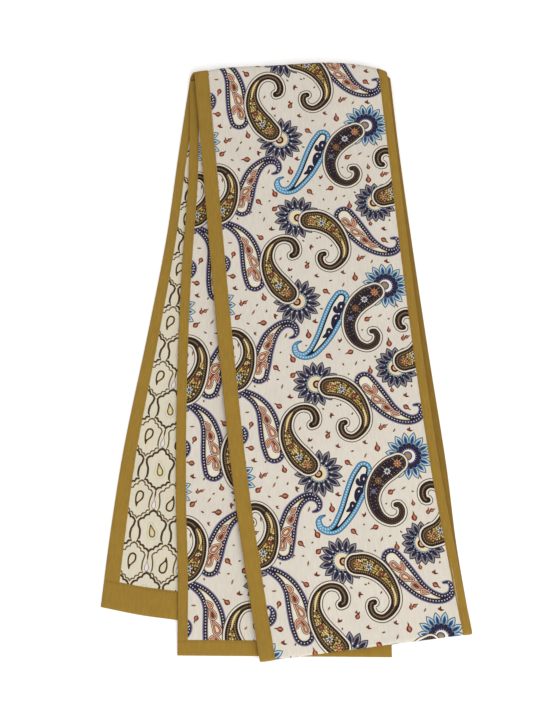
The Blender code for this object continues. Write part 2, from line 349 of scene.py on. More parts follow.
def ended_at(path, share, fade=0.08):
    """The same path with its width fading to nothing at a share of its length."""
    shares = np.linspace(0.0, 1.0, len(path))
    ended = path.copy()
    ended[:, 2] *= smooth_step((share - shares) / fade)
    return ended[: max(4, int(share * len(path)))]


def sides_of(path, grow):
    """Left and right edges of a path, this much wider on each side than its half widths."""
    tangent = np.gradient(path[:, :2], axis=0)
    tangent /= np.linalg.norm(tangent, axis=1)[:, None]
    normal = np.stack([-tangent[:, 1], tangent[:, 0]], axis=1)
    turn = np.gradient(np.unwrap(np.arctan2(tangent[:, 1], tangent[:, 0])))
    step = np.linalg.norm(np.gradient(path[:, :2], axis=0), axis=1)
    bend = turn / np.maximum(step, 1e-6)
    width = np.maximum(path[:, 2] + grow, 0.05)
    room = 0.92 / np.maximum(np.abs(bend), 1e-6)
    left = np.where(bend > 0, np.minimum(width, room), width)
    right = np.where(bend < 0, np.minimum(width, room), width)
    return path[:, :2] + normal * left[:, None], path[:, :2] - normal * right[:, None], tangent, width


def ribbon(drawing, path, ink, grow=0.0, cap_steps=7, least=0.2):
    """A closed band round a path, with round ends. It stops where its width would run out."""
    kept = path[path[:, 2] + grow > least]
    if len(kept) < 4:
        return
    left, right, tangent, width = sides_of(kept, grow)

    def cap(index, direction):
        angles = np.linspace(-math.pi / 2, math.pi / 2, cap_steps + 2)[1:-1]
        forward = direction * tangent[index]
        side = np.array([-forward[1], forward[0]])
        return kept[index, :2] + width[index] * (
            np.cos(angles)[:, None] * forward + np.sin(angles)[:, None] * side)

    drawing.add(np.concatenate([right, cap(-1, 1.0), left[::-1], cap(0, -1.0)]), ink)


def dots_along(drawing, path, inset, spacing, radius, ink, least=1.2, sides=6):
    """A row of dots inside both edges of a path, and round its wide end."""
    kept = path[path[:, 2] > least]
    if len(kept) < 4:
        return
    left, right, tangent, width = sides_of(kept, -inset)
    for edge in (left, right):
        run = np.concatenate([[0.0], np.cumsum(np.linalg.norm(np.diff(edge, axis=0), axis=1))])
        for at in np.arange(spacing / 2, run[-1], spacing):
            centre = (np.interp(at, run, edge[:, 0]), np.interp(at, run, edge[:, 1]))
            drawing.disc(centre, radius, ink, sides)
    wide = 0 if kept[0, 2] > kept[-1, 2] else -1
    forward = tangent[wide] * (-1.0 if wide == 0 else 1.0)
    side = np.array([-forward[1], forward[0]])
    count = max(2, int(math.pi * width[wide] / spacing))
    for angle in (np.arange(count) + 0.5) * math.pi / count - math.pi / 2:
        centre = kept[wide, :2] + width[wide] * (math.cos(angle) * forward + math.sin(angle) * side)
        drawing.disc(centre, radius, ink, sides)


# ---------------------------------------------------------------- the paisley print
REPEAT_ACROSS = np.array([113.0, -3.2])
REPEAT_DOWN = np.array([0.35, 113.1])
PATH_STEP = 1.0


def rosette(drawing, centre, radius, petals, petal_ink, gap_ink, heart_ink):
    """A small round flower: separate petals on a dark disc, with a light heart."""
    drawing.disc(centre, radius, gap_ink, 10)
    for angle in turns(petals):
        drawing.disc(centre + 0.66 * radius * ray_at(angle), 0.34 * radius, petal_ink, 6, 0.66, angle)
    drawing.disc(centre, 0.27 * radius, heart_ink, 6)


def mosaic(drawing, path, margin, inks, seed, pitch=1.3):
    """Small dabs of several inks filling the inside of a path, in uneven rows across it."""
    random = np.random.default_rng(seed)
    ahead = np.gradient(path[:, :2], axis=0)
    ahead /= np.linalg.norm(ahead, axis=1)[:, None]
    for row, forward in zip(path, ahead):
        room = row[2] - margin
        if room < 0.3:
            continue
        side = np.array([-forward[1], forward[0]])
        count = max(1, int(round(2 * room / pitch)))
        for k in range(count):
            offset = ((k + 0.5) / count * 2 - 1) * room + random.uniform(-0.2, 0.2)
            centre = row[:2] + side * offset + forward * random.uniform(-0.3, 0.3)
            ink = inks[random.integers(len(inks))]
            drawing.disc(centre, random.uniform(0.45, 0.75), ink, 5, random.uniform(0.5, 1.0),
                         random.uniform(0.0, math.pi))


def bands(drawing, path, rows, cap_steps=7, least=0.2):
    """Ribbons round one path from rows of ink and growth, each over the one before."""
    for ink, grow in rows:
        ribbon(drawing, path, ink, grow, cap_steps, least)


def streak(drawing, path, half_width, ink):
    """A stripe of even width along a path."""
    even = path.copy()
    even[:, 2] = half_width
    ribbon(drawing, even, ink, 0.0, 3)


# Inks of the commas' small flowers: petals, gaps, heart.
CORAL_FLOWER = ("salmon", "umber", "yellow")
RUST_FLOWER = ("rust", "umber", "salmon")
TWIG_FLOWER = ("twig", "umber", "ochre")
PALE_FLOWER = ("chalk", "midnight", "royal")
SLATE_FLOWER = ("slate", "midnight", "lavender")
# The thin dark line and the pale halo that stand round every large comma: ink, growth.
COMMA_HALO = (("outline", 1.9), ("halo", 1.3))
COMMA_CAP = 9
MOSAIC_INKS = ("yellow", "umber", "lemon", "umber", "straw", "lemon", "yellow", "ochre")


def ochre_comma(drawing, rows, seed, flowers, lit=0.66):
    """A large comma: dark edge, a ring of light beads, and a body of small dabs with flowers on it."""
    path = smooth_path(rows, PATH_STEP)
    bands(drawing, path, COMMA_HALO + (("umber", 0.35),), COMMA_CAP)
    tail = path[int((lit - 0.06) * len(path)):]
    streak(drawing, tail[:-1], 0.8, "brown")
    for row in tail[1:-1]:
        drawing.disc(row[:2], 0.42, "tan", 5)
    body = ended_at(path, lit)
    ribbon(drawing, body, "brown", -0.8, COMMA_CAP)
    dots_along(drawing, body, inset=1.45, spacing=1.3, radius=0.4, ink="tan", least=1.7)
    bands(drawing, body[: int(0.8 * len(body))], (("umber", -2.1), ("olive", -2.5)), COMMA_CAP)
    mosaic(drawing, body, 2.4, MOSAIC_INKS, seed)
    neck = body[int(0.66 * len(body)): int(0.97 * len(body))].copy()
    neck[:, 2] = 0.15 + 0.5 * np.sin(np.linspace(0.15, 0.95, len(neck)) * math.pi)
    ribbon(drawing, neck, "lemon", 0.0, 3, 0.1)
    for (u, s, radius), inks in zip(flowers, (CORAL_FLOWER, PALE_FLOWER, RUST_FLOWER)):
        rosette(drawing, (u, s), radius, 7, *inks)


def plum_comma(drawing, rows, flowers):
    """A large dark comma with a dotted edge, separate flowers and pale sprigs beside them."""
    path = smooth_path(rows, PATH_STEP)
    body = path[: int(0.62 * len(path))]
    bands(drawing, path, COMMA_HALO + (("umber", 0.3), ("brown", -0.35)), COMMA_CAP)
    dots_along(drawing, path, inset=0.55, spacing=1.45, radius=0.22, ink="tan", least=1.5, sides=5)
    ribbon(drawing, path, "plum", -0.85, COMMA_CAP)
    dots_along(drawing, body, inset=1.9, spacing=2.3, radius=0.28, ink="grey", least=2.8)
    streak(drawing, path[len(body): -1], 0.3, "brown")
    for (u, s, radius), inks in zip(flowers, (CORAL_FLOWER, PALE_FLOWER, TWIG_FLOWER, SLATE_FLOWER)):
        for turn in (0.7, 2.4, 3.9, 5.5):
            ray = ray_at(turn) * radius
            drawing.lens((u, s) + 1.15 * ray, (u, s) + 1.85 * ray, 0.32, "grey", 0.5, 3, 0.4)
        rosette(drawing, (u, s), radius, 8, *inks)


# Curled leaves of the drops, from their wide end: sideways, way to the drop's tip, half width.
HOOK = ((0.0, 0.0, 1.6), (0.2, 1.8, 1.45), (0.6, 3.8, 1.2), (1.6, 5.4, 1.2), (3.2, 5.7, 1.1),
        (4.6, 4.4, 0.8), (5.2, 3.0, 0.3))
CURL = ((0.0, 0.0, 2.05), (0.3, 1.6, 1.9), (1.0, 3.5, 1.25), (1.7, 5.2, 0.65), (2.0, 6.1, 0.3))
BLOT = ((0.0, 0.0, 2.5), (0.3, 1.8, 2.3), (0.9, 3.7, 1.5), (2.4, 4.6, 1.4), (3.9, 3.6, 1.3),
        (4.1, 2.2, 0.7))
WAVE = ((0.0, 0.0, 2.2), (0.3, 1.6, 2.0), (1.2, 3.4, 1.45), (2.5, 4.9, 1.1), (3.9, 6.0, 0.5))


def placed(rows, u, s, size, turn):
    """A path from rows in a scroll's own axes, turned by degrees. A negative size mirrors it."""
    tip = ray_at(math.radians(turn)) * abs(size)
    side = np.array([tip[1], -tip[0]]) * np.sign(size)
    return smooth_path([(*(x * side + y * tip + (u, s)), abs(size) * width) for x, y, width in rows], 0.8)


def coral_scroll(drawing, rows, u, s, size, turn):
    """A small curled leaf of nested outlines."""
    path = placed(rows, u, s, size, turn)
    nested = (("dark_rust", 1.15), ("halo", 0.62), ("dark_rust", 0.25), ("coral", -0.2))
    inner = (("dark_rust", -0.7 * abs(size)), ("buff", -1.15 * abs(size)))
    bands(drawing, path, nested, 5, 0.1)
    bands(drawing, path[: len(path) // 2 + 1], inner, 4)


def navy_scroll(drawing, rows, u, s, size, turn):
    """A small curled leaf in solid navy, with a pale spot in its wide end."""
    path = placed(rows, u, s, size, turn)
    bands(drawing, path, (("midnight", 0.35), ("navy", -0.25)), 5, 0.1)
    drawing.disc(path[1, :2], 0.36 * path[0, 2], "halo", 8, 0.6, math.radians(turn))


def navy_drop(drawing, rows, scrolls):
    """A teardrop with a dotted navy band round a pale heart of coral scrolls."""
    path = smooth_path(rows, PATH_STEP)
    ribbon(drawing, path, "lavender", 0.6, 7, 0.1)
    ribbon(drawing, path, "navy", -0.05)
    dots_along(drawing, path, inset=1.3, spacing=1.8, radius=0.43, ink="chalk", least=0.8)
    bands(drawing, path, (("umber", -2.35), ("straw", -2.65), ("halo", -3.05)))
    for scroll in scrolls:
        coral_scroll(drawing, *scroll)


def sky_drop(drawing, rows, scrolls):
    """A teardrop with a dotted sky-blue band round a pale heart of navy scrolls."""
    path = smooth_path(rows, PATH_STEP)
    ribbon(drawing, path, "royal", 0.4, 7, 0.1)
    ribbon(drawing, path, "sky", -0.15)
    dots_along(drawing, path, inset=1.25, spacing=1.72, radius=0.56, ink="pale_sky", least=0.9)
    bands(drawing, path, (("midnight", -2.3), ("halo", -3.3)))
    for scroll in scrolls:
        navy_scroll(drawing, *scroll)


# Layers of a petal from its edge inwards: start below the base, shortfall at the tip, half width, place of
# the full width, steps.
PETAL_LAYERS = ((-0.6, 0.0, 2.4, 0.54, 5), (0.0, 0.9, 1.72, 0.54, 4), (0.0, 2.1, 1.2, 0.5, 3),
                (1.2, 3.6, 0.4, 0.5, 2))


def petal_ring(drawing, centre, outer, count, start, inks, base=6.4):
    """Long pointed petals on a ring, one layer of them in each ink from their edges inwards."""
    for ink, (below, short, half_width, fullest, steps) in zip(inks, PETAL_LAYERS):
        for k, angle in enumerate(turns(count, start)):
            ray = ray_at(angle)
            tip = centre + ray * (outer * (1.0 if k % 2 else 0.97) - short)
            drawing.lens(centre + ray * (base + below), tip, half_width, ink, fullest, steps)


def beaded_ring(drawing, centre, radius, width, count, ring_ink, bead_ink, bead):
    """A disc with a ring of beads near its edge."""
    drawing.disc(centre, radius + width, ring_ink, 26)
    for angle in turns(count):
        drawing.disc(centre + radius * ray_at(angle), bead, bead_ink, 6)


def navy_flower(drawing, centre, outer, count, start, heart):
    """A round flower of navy petals, with a beaded ring round a buff middle."""
    petal_ring(drawing, centre, outer, count, math.radians(start), ("dusk", "grey", "navy"))
    beaded_ring(drawing, centre, 6.7, 0.8, count, "midnight", "teal", 0.5)
    beaded_ring(drawing, centre, 5.75, 0.25, 22, "slate", "pale_sky", 0.32)
    drawing.disc(centre, 5.35, "tan", 20)
    drawing.disc(centre, 5.05, "buff", 20)
    for radius, ink in ((2.75, "umber"), (1.6, "leaf"), (1.35, "peach"), (0.7, "tan")):
        drawing.disc(heart, radius, ink, 14)


def sky_flower(drawing, centre, outer, count, start, heart):
    """A round flower of blue petals, with a rayed navy ring round a white middle."""
    petal_ring(drawing, centre, outer, count, math.radians(start), ("steel", "pale_sky", "royal", "navy"))
    for angle in turns(count, math.radians(start) + math.pi / count):
        drawing.disc(centre + 7.3 * ray_at(angle), 1.1, "midnight", 7)
    drawing.disc(centre, 7.4, "navy", 26)
    for angle in turns(22):
        ray = ray_at(angle)
        drawing.disc(centre + ray * 6.2, 0.42, "brown", 6)
        drawing.lens(centre + ray * 3.6, centre + ray * 5.3, 0.4, "lavender", 0.6, 2)
    drawing.disc(centre, 4.2, "white", 18)
    for radius, ink in ((2.9, "midnight"), (2.3, "slate"), (1.6, "tan"), (0.9, "ochre")):
        drawing.disc(heart, radius, ink, 14)


def small_leaf(drawing, u, s, turn, size):
    """A rust leaf with a light heart and a thin tail."""
    size *= 1.12
    ray = ray_at(turn)
    middle = (u, s) - ray * 0.3 * size
    for low, high, half_width, ink, *shape in ((1.0, 3.5, 0.45, "dark_rust", 0.4, 3, 0.3),
                                               (-2.0, 2.1, 1.6, "dark_rust"),
                                               (-1.3, 1.4, 0.64, "leaf", 0.45, 3, 0.2)):
        drawing.lens(middle + ray * low * size, middle + ray * high * size, half_width * size, ink, *shape)


def small_pair(drawing, u, s, turn, size):
    """Two leaves from one stem."""
    small_leaf(drawing, u - 1.2 * size, s + 0.2 * size, turn - 0.45, 0.8 * size)
    small_leaf(drawing, u + 1.5 * size, s - 0.4 * size, turn + 0.55, 0.72 * size)


def small_comma(drawing, u, s, turn, size):
    """A rust spot with two bent tails."""
    ray = ray_at(turn)
    side = np.array([-ray[1], ray[0]])
    middle = np.array([u, s])
    size *= 1.2
    drawing.disc(middle - ray * 0.9 * size, 0.78 * size, "rust", 6)
    for way, low, high, half_width, bow in ((ray, -1.2, 1.9, 0.62, 0.5), (side, 0.2, -1.7, 0.5, -0.3)):
        drawing.lens(middle + way * low * size, middle + way * high * size, half_width * size, "dark_rust",
                     0.4, 3, bow)


def small_tick(drawing, u, s, turn, size):
    """A thin dash."""
    ray = ray_at(turn)
    middle = np.array([u, s])
    drawing.lens(middle - ray * 1.5 * size, middle + ray * 1.6 * size, 0.6,
                 "twig" if size > 0.85 else "bark", 0.5, 3, 0.15)


# Small marks between the large motifs: u, s, turn of the tail in degrees, size.
LEAVES = (
    (-50.2, 19.3, 110, 0.9), (-52.3, 34.0, 190, 1.0), (-33.2, 50.2, -105, 1.0), (-31.6, 9.2, -145, 1.0),
    (-51.2, 61.6, -40, 1.0), (-35.6, 67.2, 180, 1.1), (-7.2, 77.8, -95, 1.1), (-19.1, 92.8, -115, 1.1),
    (-30.0, 97.6, 45, 1.0), (-19.8, 103.2, -40, 1.0), (-3.0, 31.5, -60, 0.9), (49.0, 18.2, 35, 1.0),
    (27.0, 42.2, -95, 1.1), (7.3, 50.0, 35, 1.0), (31.8, 70.9, -30, 1.0), (43.7, 88.0, -95, 1.1),
    (4.3, 93.4, 45, 1.0), (17.9, 92.2, 160, 1.0), (29.3, 105.2, -92, 1.0), (44.6, 79.3, -100, 0.75),
    (41.2, 6.0, -100, 0.75),
)
PAIRS = ((-47.0, 52.6, -70, 1.0), (32.0, 29.4, -60, 1.0), (54.4, 85.2, -55, 1.0))
COMMAS = (
    (-51.0, 42.4, 20, 1.0), (-23.6, 4.2, 5, 1.0), (0.8, 19.0, 95, 1.0), (-14.5, 33.0, -25, 0.9),
    (2.5, 39.0, 20, 0.9), (-27.0, 63.6, 75, 1.0), (-41.0, 73.8, 45, 0.7), (-1.8, 69.6, 15, 1.0),
    (-36.2, 104.5, 100, 0.8), (49.8, 10.5, 20, 1.0), (49.0, 33.0, 15, 1.0), (19.8, 38.2, 20, 0.9),
    (12.6, 83.6, -60, 0.9), (-3.0, 29.2, 5, 0.7),
)
TICKS = (
    (-51.8, 11.0, 0, 1.1), (-44.0, 44.0, 120, 0.7), (-38.0, 55.0, 130, 0.8), (-3.8, 14.0, 45, 0.7),
    (-20.0, 25.0, -50, 0.9), (-13.8, 38.0, 100, 0.6), (-41.0, 59.5, -55, 1.4), (-32.5, 59.5, -60, 0.8),
    (-45.0, 66.5, 30, 0.8), (-21.7, 77.0, -60, 1.3), (-9.5, 84.8, 0, 0.5), (-26.2, 87.6, 0, 0.5),
    (-23.0, 97.5, -30, 0.6), (-30.0, 105.0, 0, 0.6), (-27.5, 110.0, 110, 1.2), (-44.8, 108.0, 90, 0.6),
    (5.4, 13.0, 10, 0.6), (7.5, 12.6, 80, 0.5), (14.0, 19.0, -50, 0.7), (54.0, 4.5, -70, 0.6),
    (39.0, 32.4, -55, 1.0), (11.0, 42.8, -10, 0.8), (18.8, 46.5, -60, 1.2), (3.0, 61.3, 10, 0.8),
    (40.0, 69.3, -30, 1.2), (45.5, 71.8, 0, 0.6), (52.0, 63.0, 70, 1.3), (27.5, 78.0, 0, 0.5),
    (11.3, 89.5, 0, 0.5), (33.8, 96.4, 50, 0.7), (26.3, 98.3, -20, 0.7), (12.8, 99.6, 70, 0.7),
    (20.7, 99.8, -60, 1.2), (15.3, 106.3, 0, 0.5), (-52.5, 80.0, 95, 1.3),
)

# Middle lines of the large motifs, from the wide end: u, s, half width.
COMMA_LEFT = ((-17.8, 48.8, 6.0), (-22.0, 43.7, 6.5), (-25.8, 37.2, 5.6), (-28.2, 30.0, 4.3),
              (-28.3, 23.6, 3.1), (-26.1, 17.5, 2.3), (-21.9, 13.2, 1.6), (-16.5, 11.7, 1.45),
              (-11.2, 13.6, 1.7), (-8.9, 18.4, 1.9), (-9.8, 22.4, 1.9), (-12.2, 23.6, 1.6))
COMMA_RIGHT = ((1.5, 0.3, 5.7), (7.5, 1.2, 6.2), (13.1, 4.5, 5.7), (17.6, 9.4, 4.7),
               (20.6, 15.0, 3.8), (22.3, 21.4, 2.85), (21.4, 26.9, 2.3), (17.6, 31.6, 1.8),
               (12.3, 34.0, 1.55), (7.5, 32.0, 1.55), (5.9, 27.8, 1.6), (6.8, 24.9, 1.6), (8.8, 24.3, 1.4))
COMMA_EDGE = ((52.0, 101.0, 6.1), (58.3, 98.9, 6.4), (63.3, 92.9, 5.0), (66.0, 86.0, 3.7),
              (66.5, 79.8, 3.15), (64.7, 74.1, 2.6), (61.5, 70.1, 2.1), (57.0, 68.7, 2.0),
              (53.0, 70.6, 2.0), (51.6, 74.4, 1.9), (52.6, 77.9, 1.8), (54.3, 78.3, 1.5))
COMMA_PLUM = ((38.9, 53.1, 4.9), (33.6, 55.7, 5.8), (27.0, 60.3, 5.4), (22.0, 66.8, 4.3),
              (19.7, 74.0, 3.4), (20.5, 81.0, 3.0), (23.7, 86.6, 2.3), (29.4, 89.5, 1.85),
              (34.8, 87.4, 1.7), (36.8, 83.2, 1.7), (35.5, 79.6, 1.6), (33.4, 79.4, 1.3))
DROP_LEFT = ((-38.0, 39.0, 6.4), (-38.5, 33.0, 6.95), (-38.8, 25.5, 6.95), (-39.4, 17.5, 6.3),
             (-41.2, 10.4, 5.0), (-44.6, 4.6, 3.8), (-49.5, 0.2, 2.8), (-55.5, -3.0, 1.9),
             (-60.0, -2.5, 1.5), (-62.3, 1.5, 1.2), (-60.5, 6.0, 0.7), (-57.5, 7.5, 0.3))
DROP_MIDDLE = ((-41.5, 100.5, 6.0), (-39.0, 92.5, 6.15), (-35.8, 84.5, 5.3), (-31.9, 77.0, 4.5),
               (-27.0, 71.9, 3.3), (-22.0, 69.2, 2.7), (-17.8, 69.4, 2.5), (-14.9, 72.3, 1.9),
               (-14.6, 76.0, 1.3), (-16.6, 78.2, 0.8), (-19.2, 78.8, 0.35))
DROP_RIGHT = ((24.6, -0.6, 6.4), (28.6, 6.3, 6.8), (33.4, 13.4, 6.2), (38.2, 19.6, 5.2),
              (44.4, 24.4, 4.0), (51.5, 26.6, 2.7), (56.8, 24.8, 2.1), (58.6, 20.6, 1.6),
              (57.0, 17.4, 0.9), (53.8, 17.2, 0.4))
DROP_SKY = ((16.6, 55.2, 5.0), (13.7, 60.2, 6.0), (10.6, 66.3, 6.4), (7.1, 72.6, 6.1), (2.9, 79.4, 5.3),
            (-1.8, 85.4, 4.3), (-6.8, 90.2, 3.3), (-11.8, 91.5, 2.3), (-15.8, 89.4, 1.95),
            (-16.8, 85.8, 1.7), (-15.5, 82.9, 0.8), (-12.4, 81.8, 0.3))
# Middle line of each ochre comma, seed of its dabs, and its flowers: u, s, radius.
OCHRE_COMMAS = (
    (COMMA_LEFT, 3, ((-18.0, 49.0, 2.5), (-22.8, 43.4, 2.2), (-26.8, 35.8, 2.0))),
    (COMMA_RIGHT, 5, ((2.4, 0.4, 2.5), (9.2, 2.8, 2.3), (16.4, 7.8, 2.0))),
    (COMMA_EDGE, 7, ((52.2, 101.0, 2.6), (58.6, 98.0, 2.2), (63.4, 92.0, 2.0))),
)
PLUM_FLOWERS = ((38.4, 53.4, 2.7), (31.2, 57.8, 2.3), (24.8, 63.2, 2.5), (20.8, 69.6, 1.6))
# Middle line of each navy drop, and its scrolls: kind, u, s, size, turn in degrees.
NAVY_DROPS = (
    (DROP_LEFT, ((HOOK, -36.1, 36.4, 1.0, -96), (CURL, -37.1, 26.6, 1.0, -100),
                 (CURL, -39.9, 17.9, 0.8, -92), (CURL, -41.6, 11.4, 0.5, -110))),
    (DROP_MIDDLE, ((HOOK, -42.0, 98.2, -1.0, -78), (CURL, -38.9, 90.1, -0.9, -50),
                   (CURL, -34.2, 82.8, -0.75, -66), (CURL, -32.0, 77.6, -0.45, -56))),
    (DROP_RIGHT, ((HOOK, 24.6, 2.9, 0.95, 57), (CURL, 30.0, 10.8, 0.9, 44),
                  (CURL, 35.8, 16.8, 0.8, 52), (CURL, 40.4, 21.2, 0.5, 34))),
)
SKY_SCROLLS = ((BLOT, 16.2, 60.4, -0.95, 106), (WAVE, 12.2, 68.2, 0.95, 150),
               (WAVE, 6.5, 76.6, -0.8, 106))
# Round flowers: middle, reach, number of petals, turn of the first in degrees, middle of the heart.
NAVY_FLOWERS = (((-11.9, 54.8), 15.8, 15, -82, (-12.3, 55.2)),
                ((-6.5, -2.4), 15.3, 15, -92, (-5.8, -2.1)),
                ((46.3, 104.8), 14.3, 16, -86, (45.4, 105.0)))
SKY_FLOWER = ((46.2, 49.5), 15.8, 15, -94, (45.6, 49.3))
SMALL_MARKS = ((small_leaf, LEAVES), (small_pair, PAIRS), (small_comma, COMMAS), (small_tick, TICKS))


def draw_paisley_repeat():
    """One repeat of the paisley: marks, drops and flowers, and the commas that lie over them."""
    art = Drawing()
    for draw, marks in SMALL_MARKS:
        for u, s, turn, size in marks:
            draw(art, u, s, math.radians(turn), size)
    for rows, scrolls in NAVY_DROPS:
        navy_drop(art, rows, scrolls)
    sky_drop(art, DROP_SKY, SKY_SCROLLS)
    for flower in NAVY_FLOWERS:
        navy_flower(art, *flower)
    sky_flower(art, *SKY_FLOWER)
    under, art = art, Drawing()
    for rows, seed, flowers in OCHRE_COMMAS:
        ochre_comma(art, rows, seed, flowers)
    plum_comma(art, COMMA_PLUM, PLUM_FLOWERS)
    return under.shapes, art.shapes


def paisley_over(low, high, phase, flip=1.0):
    """Outlines and inks of the paisley print between two s values; flip -1 turns the cloth end for end."""
    shapes = []
    first = int((min(low * flip, high * flip) - phase[1]) // REPEAT_DOWN[1]) - 1
    last = int((max(low * flip, high * flip) - phase[1]) // REPEAT_DOWN[1]) + 2
    for layer in draw_paisley_repeat():
        for down in range(first, last):
            for across in (-1, 0):
                offset = REPEAT_DOWN * down + REPEAT_ACROSS * across + np.asarray(phase)
                shapes += [((outline + offset) * (1.0, flip), ink) for outline, ink in layer]
    return shapes


# ---------------------------------------------------------------- the trellis print
CELL_ACROSS = 19.55  # between columns of the same kind
CELL_DOWN = 37.65
CELL_LEAN = 0.017  # the columns drift this much sideways along the cloth
TRELLIS_START = (-50.1, 305.5)  # middle of a thin-lined cell
TRELLIS_COLUMNS = range(-1, 13)
# Corners of a cell's right half, from its top: u, s from its middle.
THIN_CELL = ((0.0, -11.6), (7.6, -4.8), (7.3, -3.2), (6.7, -0.8), (6.5, 1.8), (6.6, 4.0), (7.2, 5.5),
             (0.0, 11.6))
BOLD_CELL = ((0.0, -13.0), (8.7, -5.6), (8.3, -3.2), (7.0, -0.6), (6.7, 2.1), (6.9, 4.4), (7.9, 6.1),
             (0.0, 11.9))
# Middle lines of the seeds, from the wide end: u, s, half width.
SEED = ((0.1, -3.0, 2.3), (-0.1, -1.8, 2.45), (-0.6, -0.4, 2.1), (-1.1, 1.0, 1.4), (-1.4, 2.4, 0.7),
        (-1.3, 4.3, 0.15))
SLIM_SEED = ((0.9, 1.6, 1.75), (0.6, 0.3, 1.85), (0.1, -1.2, 1.25), (-0.4, -2.6, 0.7), (-0.8, -4.0, 0.2))
# Layers of a cell from its edge inwards: ink, growth.
THIN_LAYERS = (("moss", 0.5), ("pearl", -0.5), ("ivory", -1.6))
BOLD_LAYERS = (("bistre", 0.75), ("pearl", -0.65), ("ivory", -1.8))
# Stem and drop in the neck below a bold cell: ink, top, foot, half width, place of full width, steps.
NECK_LENSES = (("bistre", -0.6, 6.4, 0.5, 0.4, 3), ("grey", 4.2, 12.4, 1.5, 0.68, 6),
               ("white", 5.8, 11.8, 1.05, 0.66, 5))


def cell_outline(corners, grow, lobes=3, bow=0.88):
    """A cell from the corners of its right half. Its lobes stand out above and in below."""
    corners = np.array(corners)
    right = []
    for k, (start, end) in enumerate(zip(corners, corners[1:])):
        along = end - start
        side = np.array([along[1], -along[0]]) / np.linalg.norm(along)
        sign = {0: 1.0, len(corners) - 2: -1.0}.get(k, 0.0)
        steps = 3 * lobes if sign else 1
        for share in np.arange(steps) / steps:
            lift = sign * bow * (abs(math.sin(math.pi * lobes * share)) - 0.42)
            right.append(start + along * share + side * (lift + grow))
    right.append(corners[-1])
    right = np.array(right)
    right[0] = (0.0, corners[0, 1] - 1.3 * grow)
    right[-1] = (0.0, corners[-1, 1] + 1.3 * grow)
    return np.concatenate([right, right[1:-1][::-1] * (-1.0, 1.0)])


def draw_seed(drawing, centre, rows, turn, ink, line, fill, slim):
    """A small outlined teardrop; turn is 1, or -1 to stand it on its head."""
    path = smooth_path([(centre[0] + turn * x, centre[1] + turn * y, width) for x, y, width in rows], 0.8)
    for glow, grow in ((("straw", 1.7), ("pearl", 1.35)) if slim else ()):
        ribbon(drawing, path, glow, grow, 7)
    ribbon(drawing, path, ink, 0.25, 7, 0.1)
    ribbon(drawing, path, fill, -line, 7)
    ribbon(drawing, path, "lemon" if slim else "buff", -line - 0.5)


def trellis_over(low, high):
    """Outlines and inks of the trellis: staggered cells in two outlines, seeds, and drops in the necks."""
    art = Drawing()
    cells = []
    first, last = (int((s - TRELLIS_START[1]) // CELL_DOWN) for s in (low, high))
    for row in range(first - 1, last + 2):
        for column in TRELLIS_COLUMNS:
            bold = column % 2
            s = TRELLIS_START[1] + (row + 0.5 * bold) * CELL_DOWN
            u = TRELLIS_START[0] + column * CELL_ACROSS / 2 + CELL_LEAN * (s - TRELLIS_START[1])
            cells.append((np.array([u, s]), bold, column))
    for centre, bold, _ in cells:
        if not bold:
            art.add(cell_outline(THIN_CELL, 0.95) + centre, "wash")
    for centre, bold, _ in cells:
        if bold:
            for ink, grow in BOLD_LAYERS:
                art.add(cell_outline(BOLD_CELL, grow) + centre, ink)
            neck = centre + np.array(BOLD_CELL[-1])
            for ink, top, foot, half_width, fullest, steps in NECK_LENSES:
                art.lens(neck + (0.0, top), neck + (0.0, foot), half_width, ink, fullest, steps)
    for centre, bold, column in cells:
        if bold:
            draw_seed(art, centre, SLIM_SEED, 1, "olive", 0.5, "straw", True)
            continue
        for ink, grow in THIN_LAYERS:
            art.add(cell_outline(THIN_CELL, grow) + centre, ink)
        turn = 1 if column % 4 == 0 else -1
        leaf_base, leaf_tip = centre + turn * np.array([-0.9, 4.3]), centre + turn * np.array([1.9, 2.4])
        art.lens(leaf_base, leaf_tip, 0.5, "buff", 0.5, 3, -0.9 * turn)
        draw_seed(art, centre, SEED, turn, "bistre", 0.85, "ivory", False)
    return art.shapes


# ---------------------------------------------------------------- meshes
MM = 1000.0
TUCK = 0.0006  # how far a panel reaches in under its bindings
LOOSE_PITCH = 4.0  # between the points inside a panel
PANEL_COLUMNS = 47
LOWER_INSET = 0.0001  # keeps a panel's lower face off the layer below
OTHER_GROUND = {"cream": "ivory", "ivory": "cream"}  # the strip's two faces are two cloths
BAKE_GAP = 0.01


def link_mesh(name, points, faces, smooth=True):
    mesh = bpy.data.meshes.new(name)
    mesh.from_pydata([tuple(p) for p in points], [], [tuple(f) for f in faces])
    piece = bpy.data.objects.new(name, mesh)
    bpy.context.scene.collection.objects.link(piece)
    if smooth:
        mesh.shade_smooth()
        mesh.set_sharp_from_angle(angle=math.radians(50))
    return piece


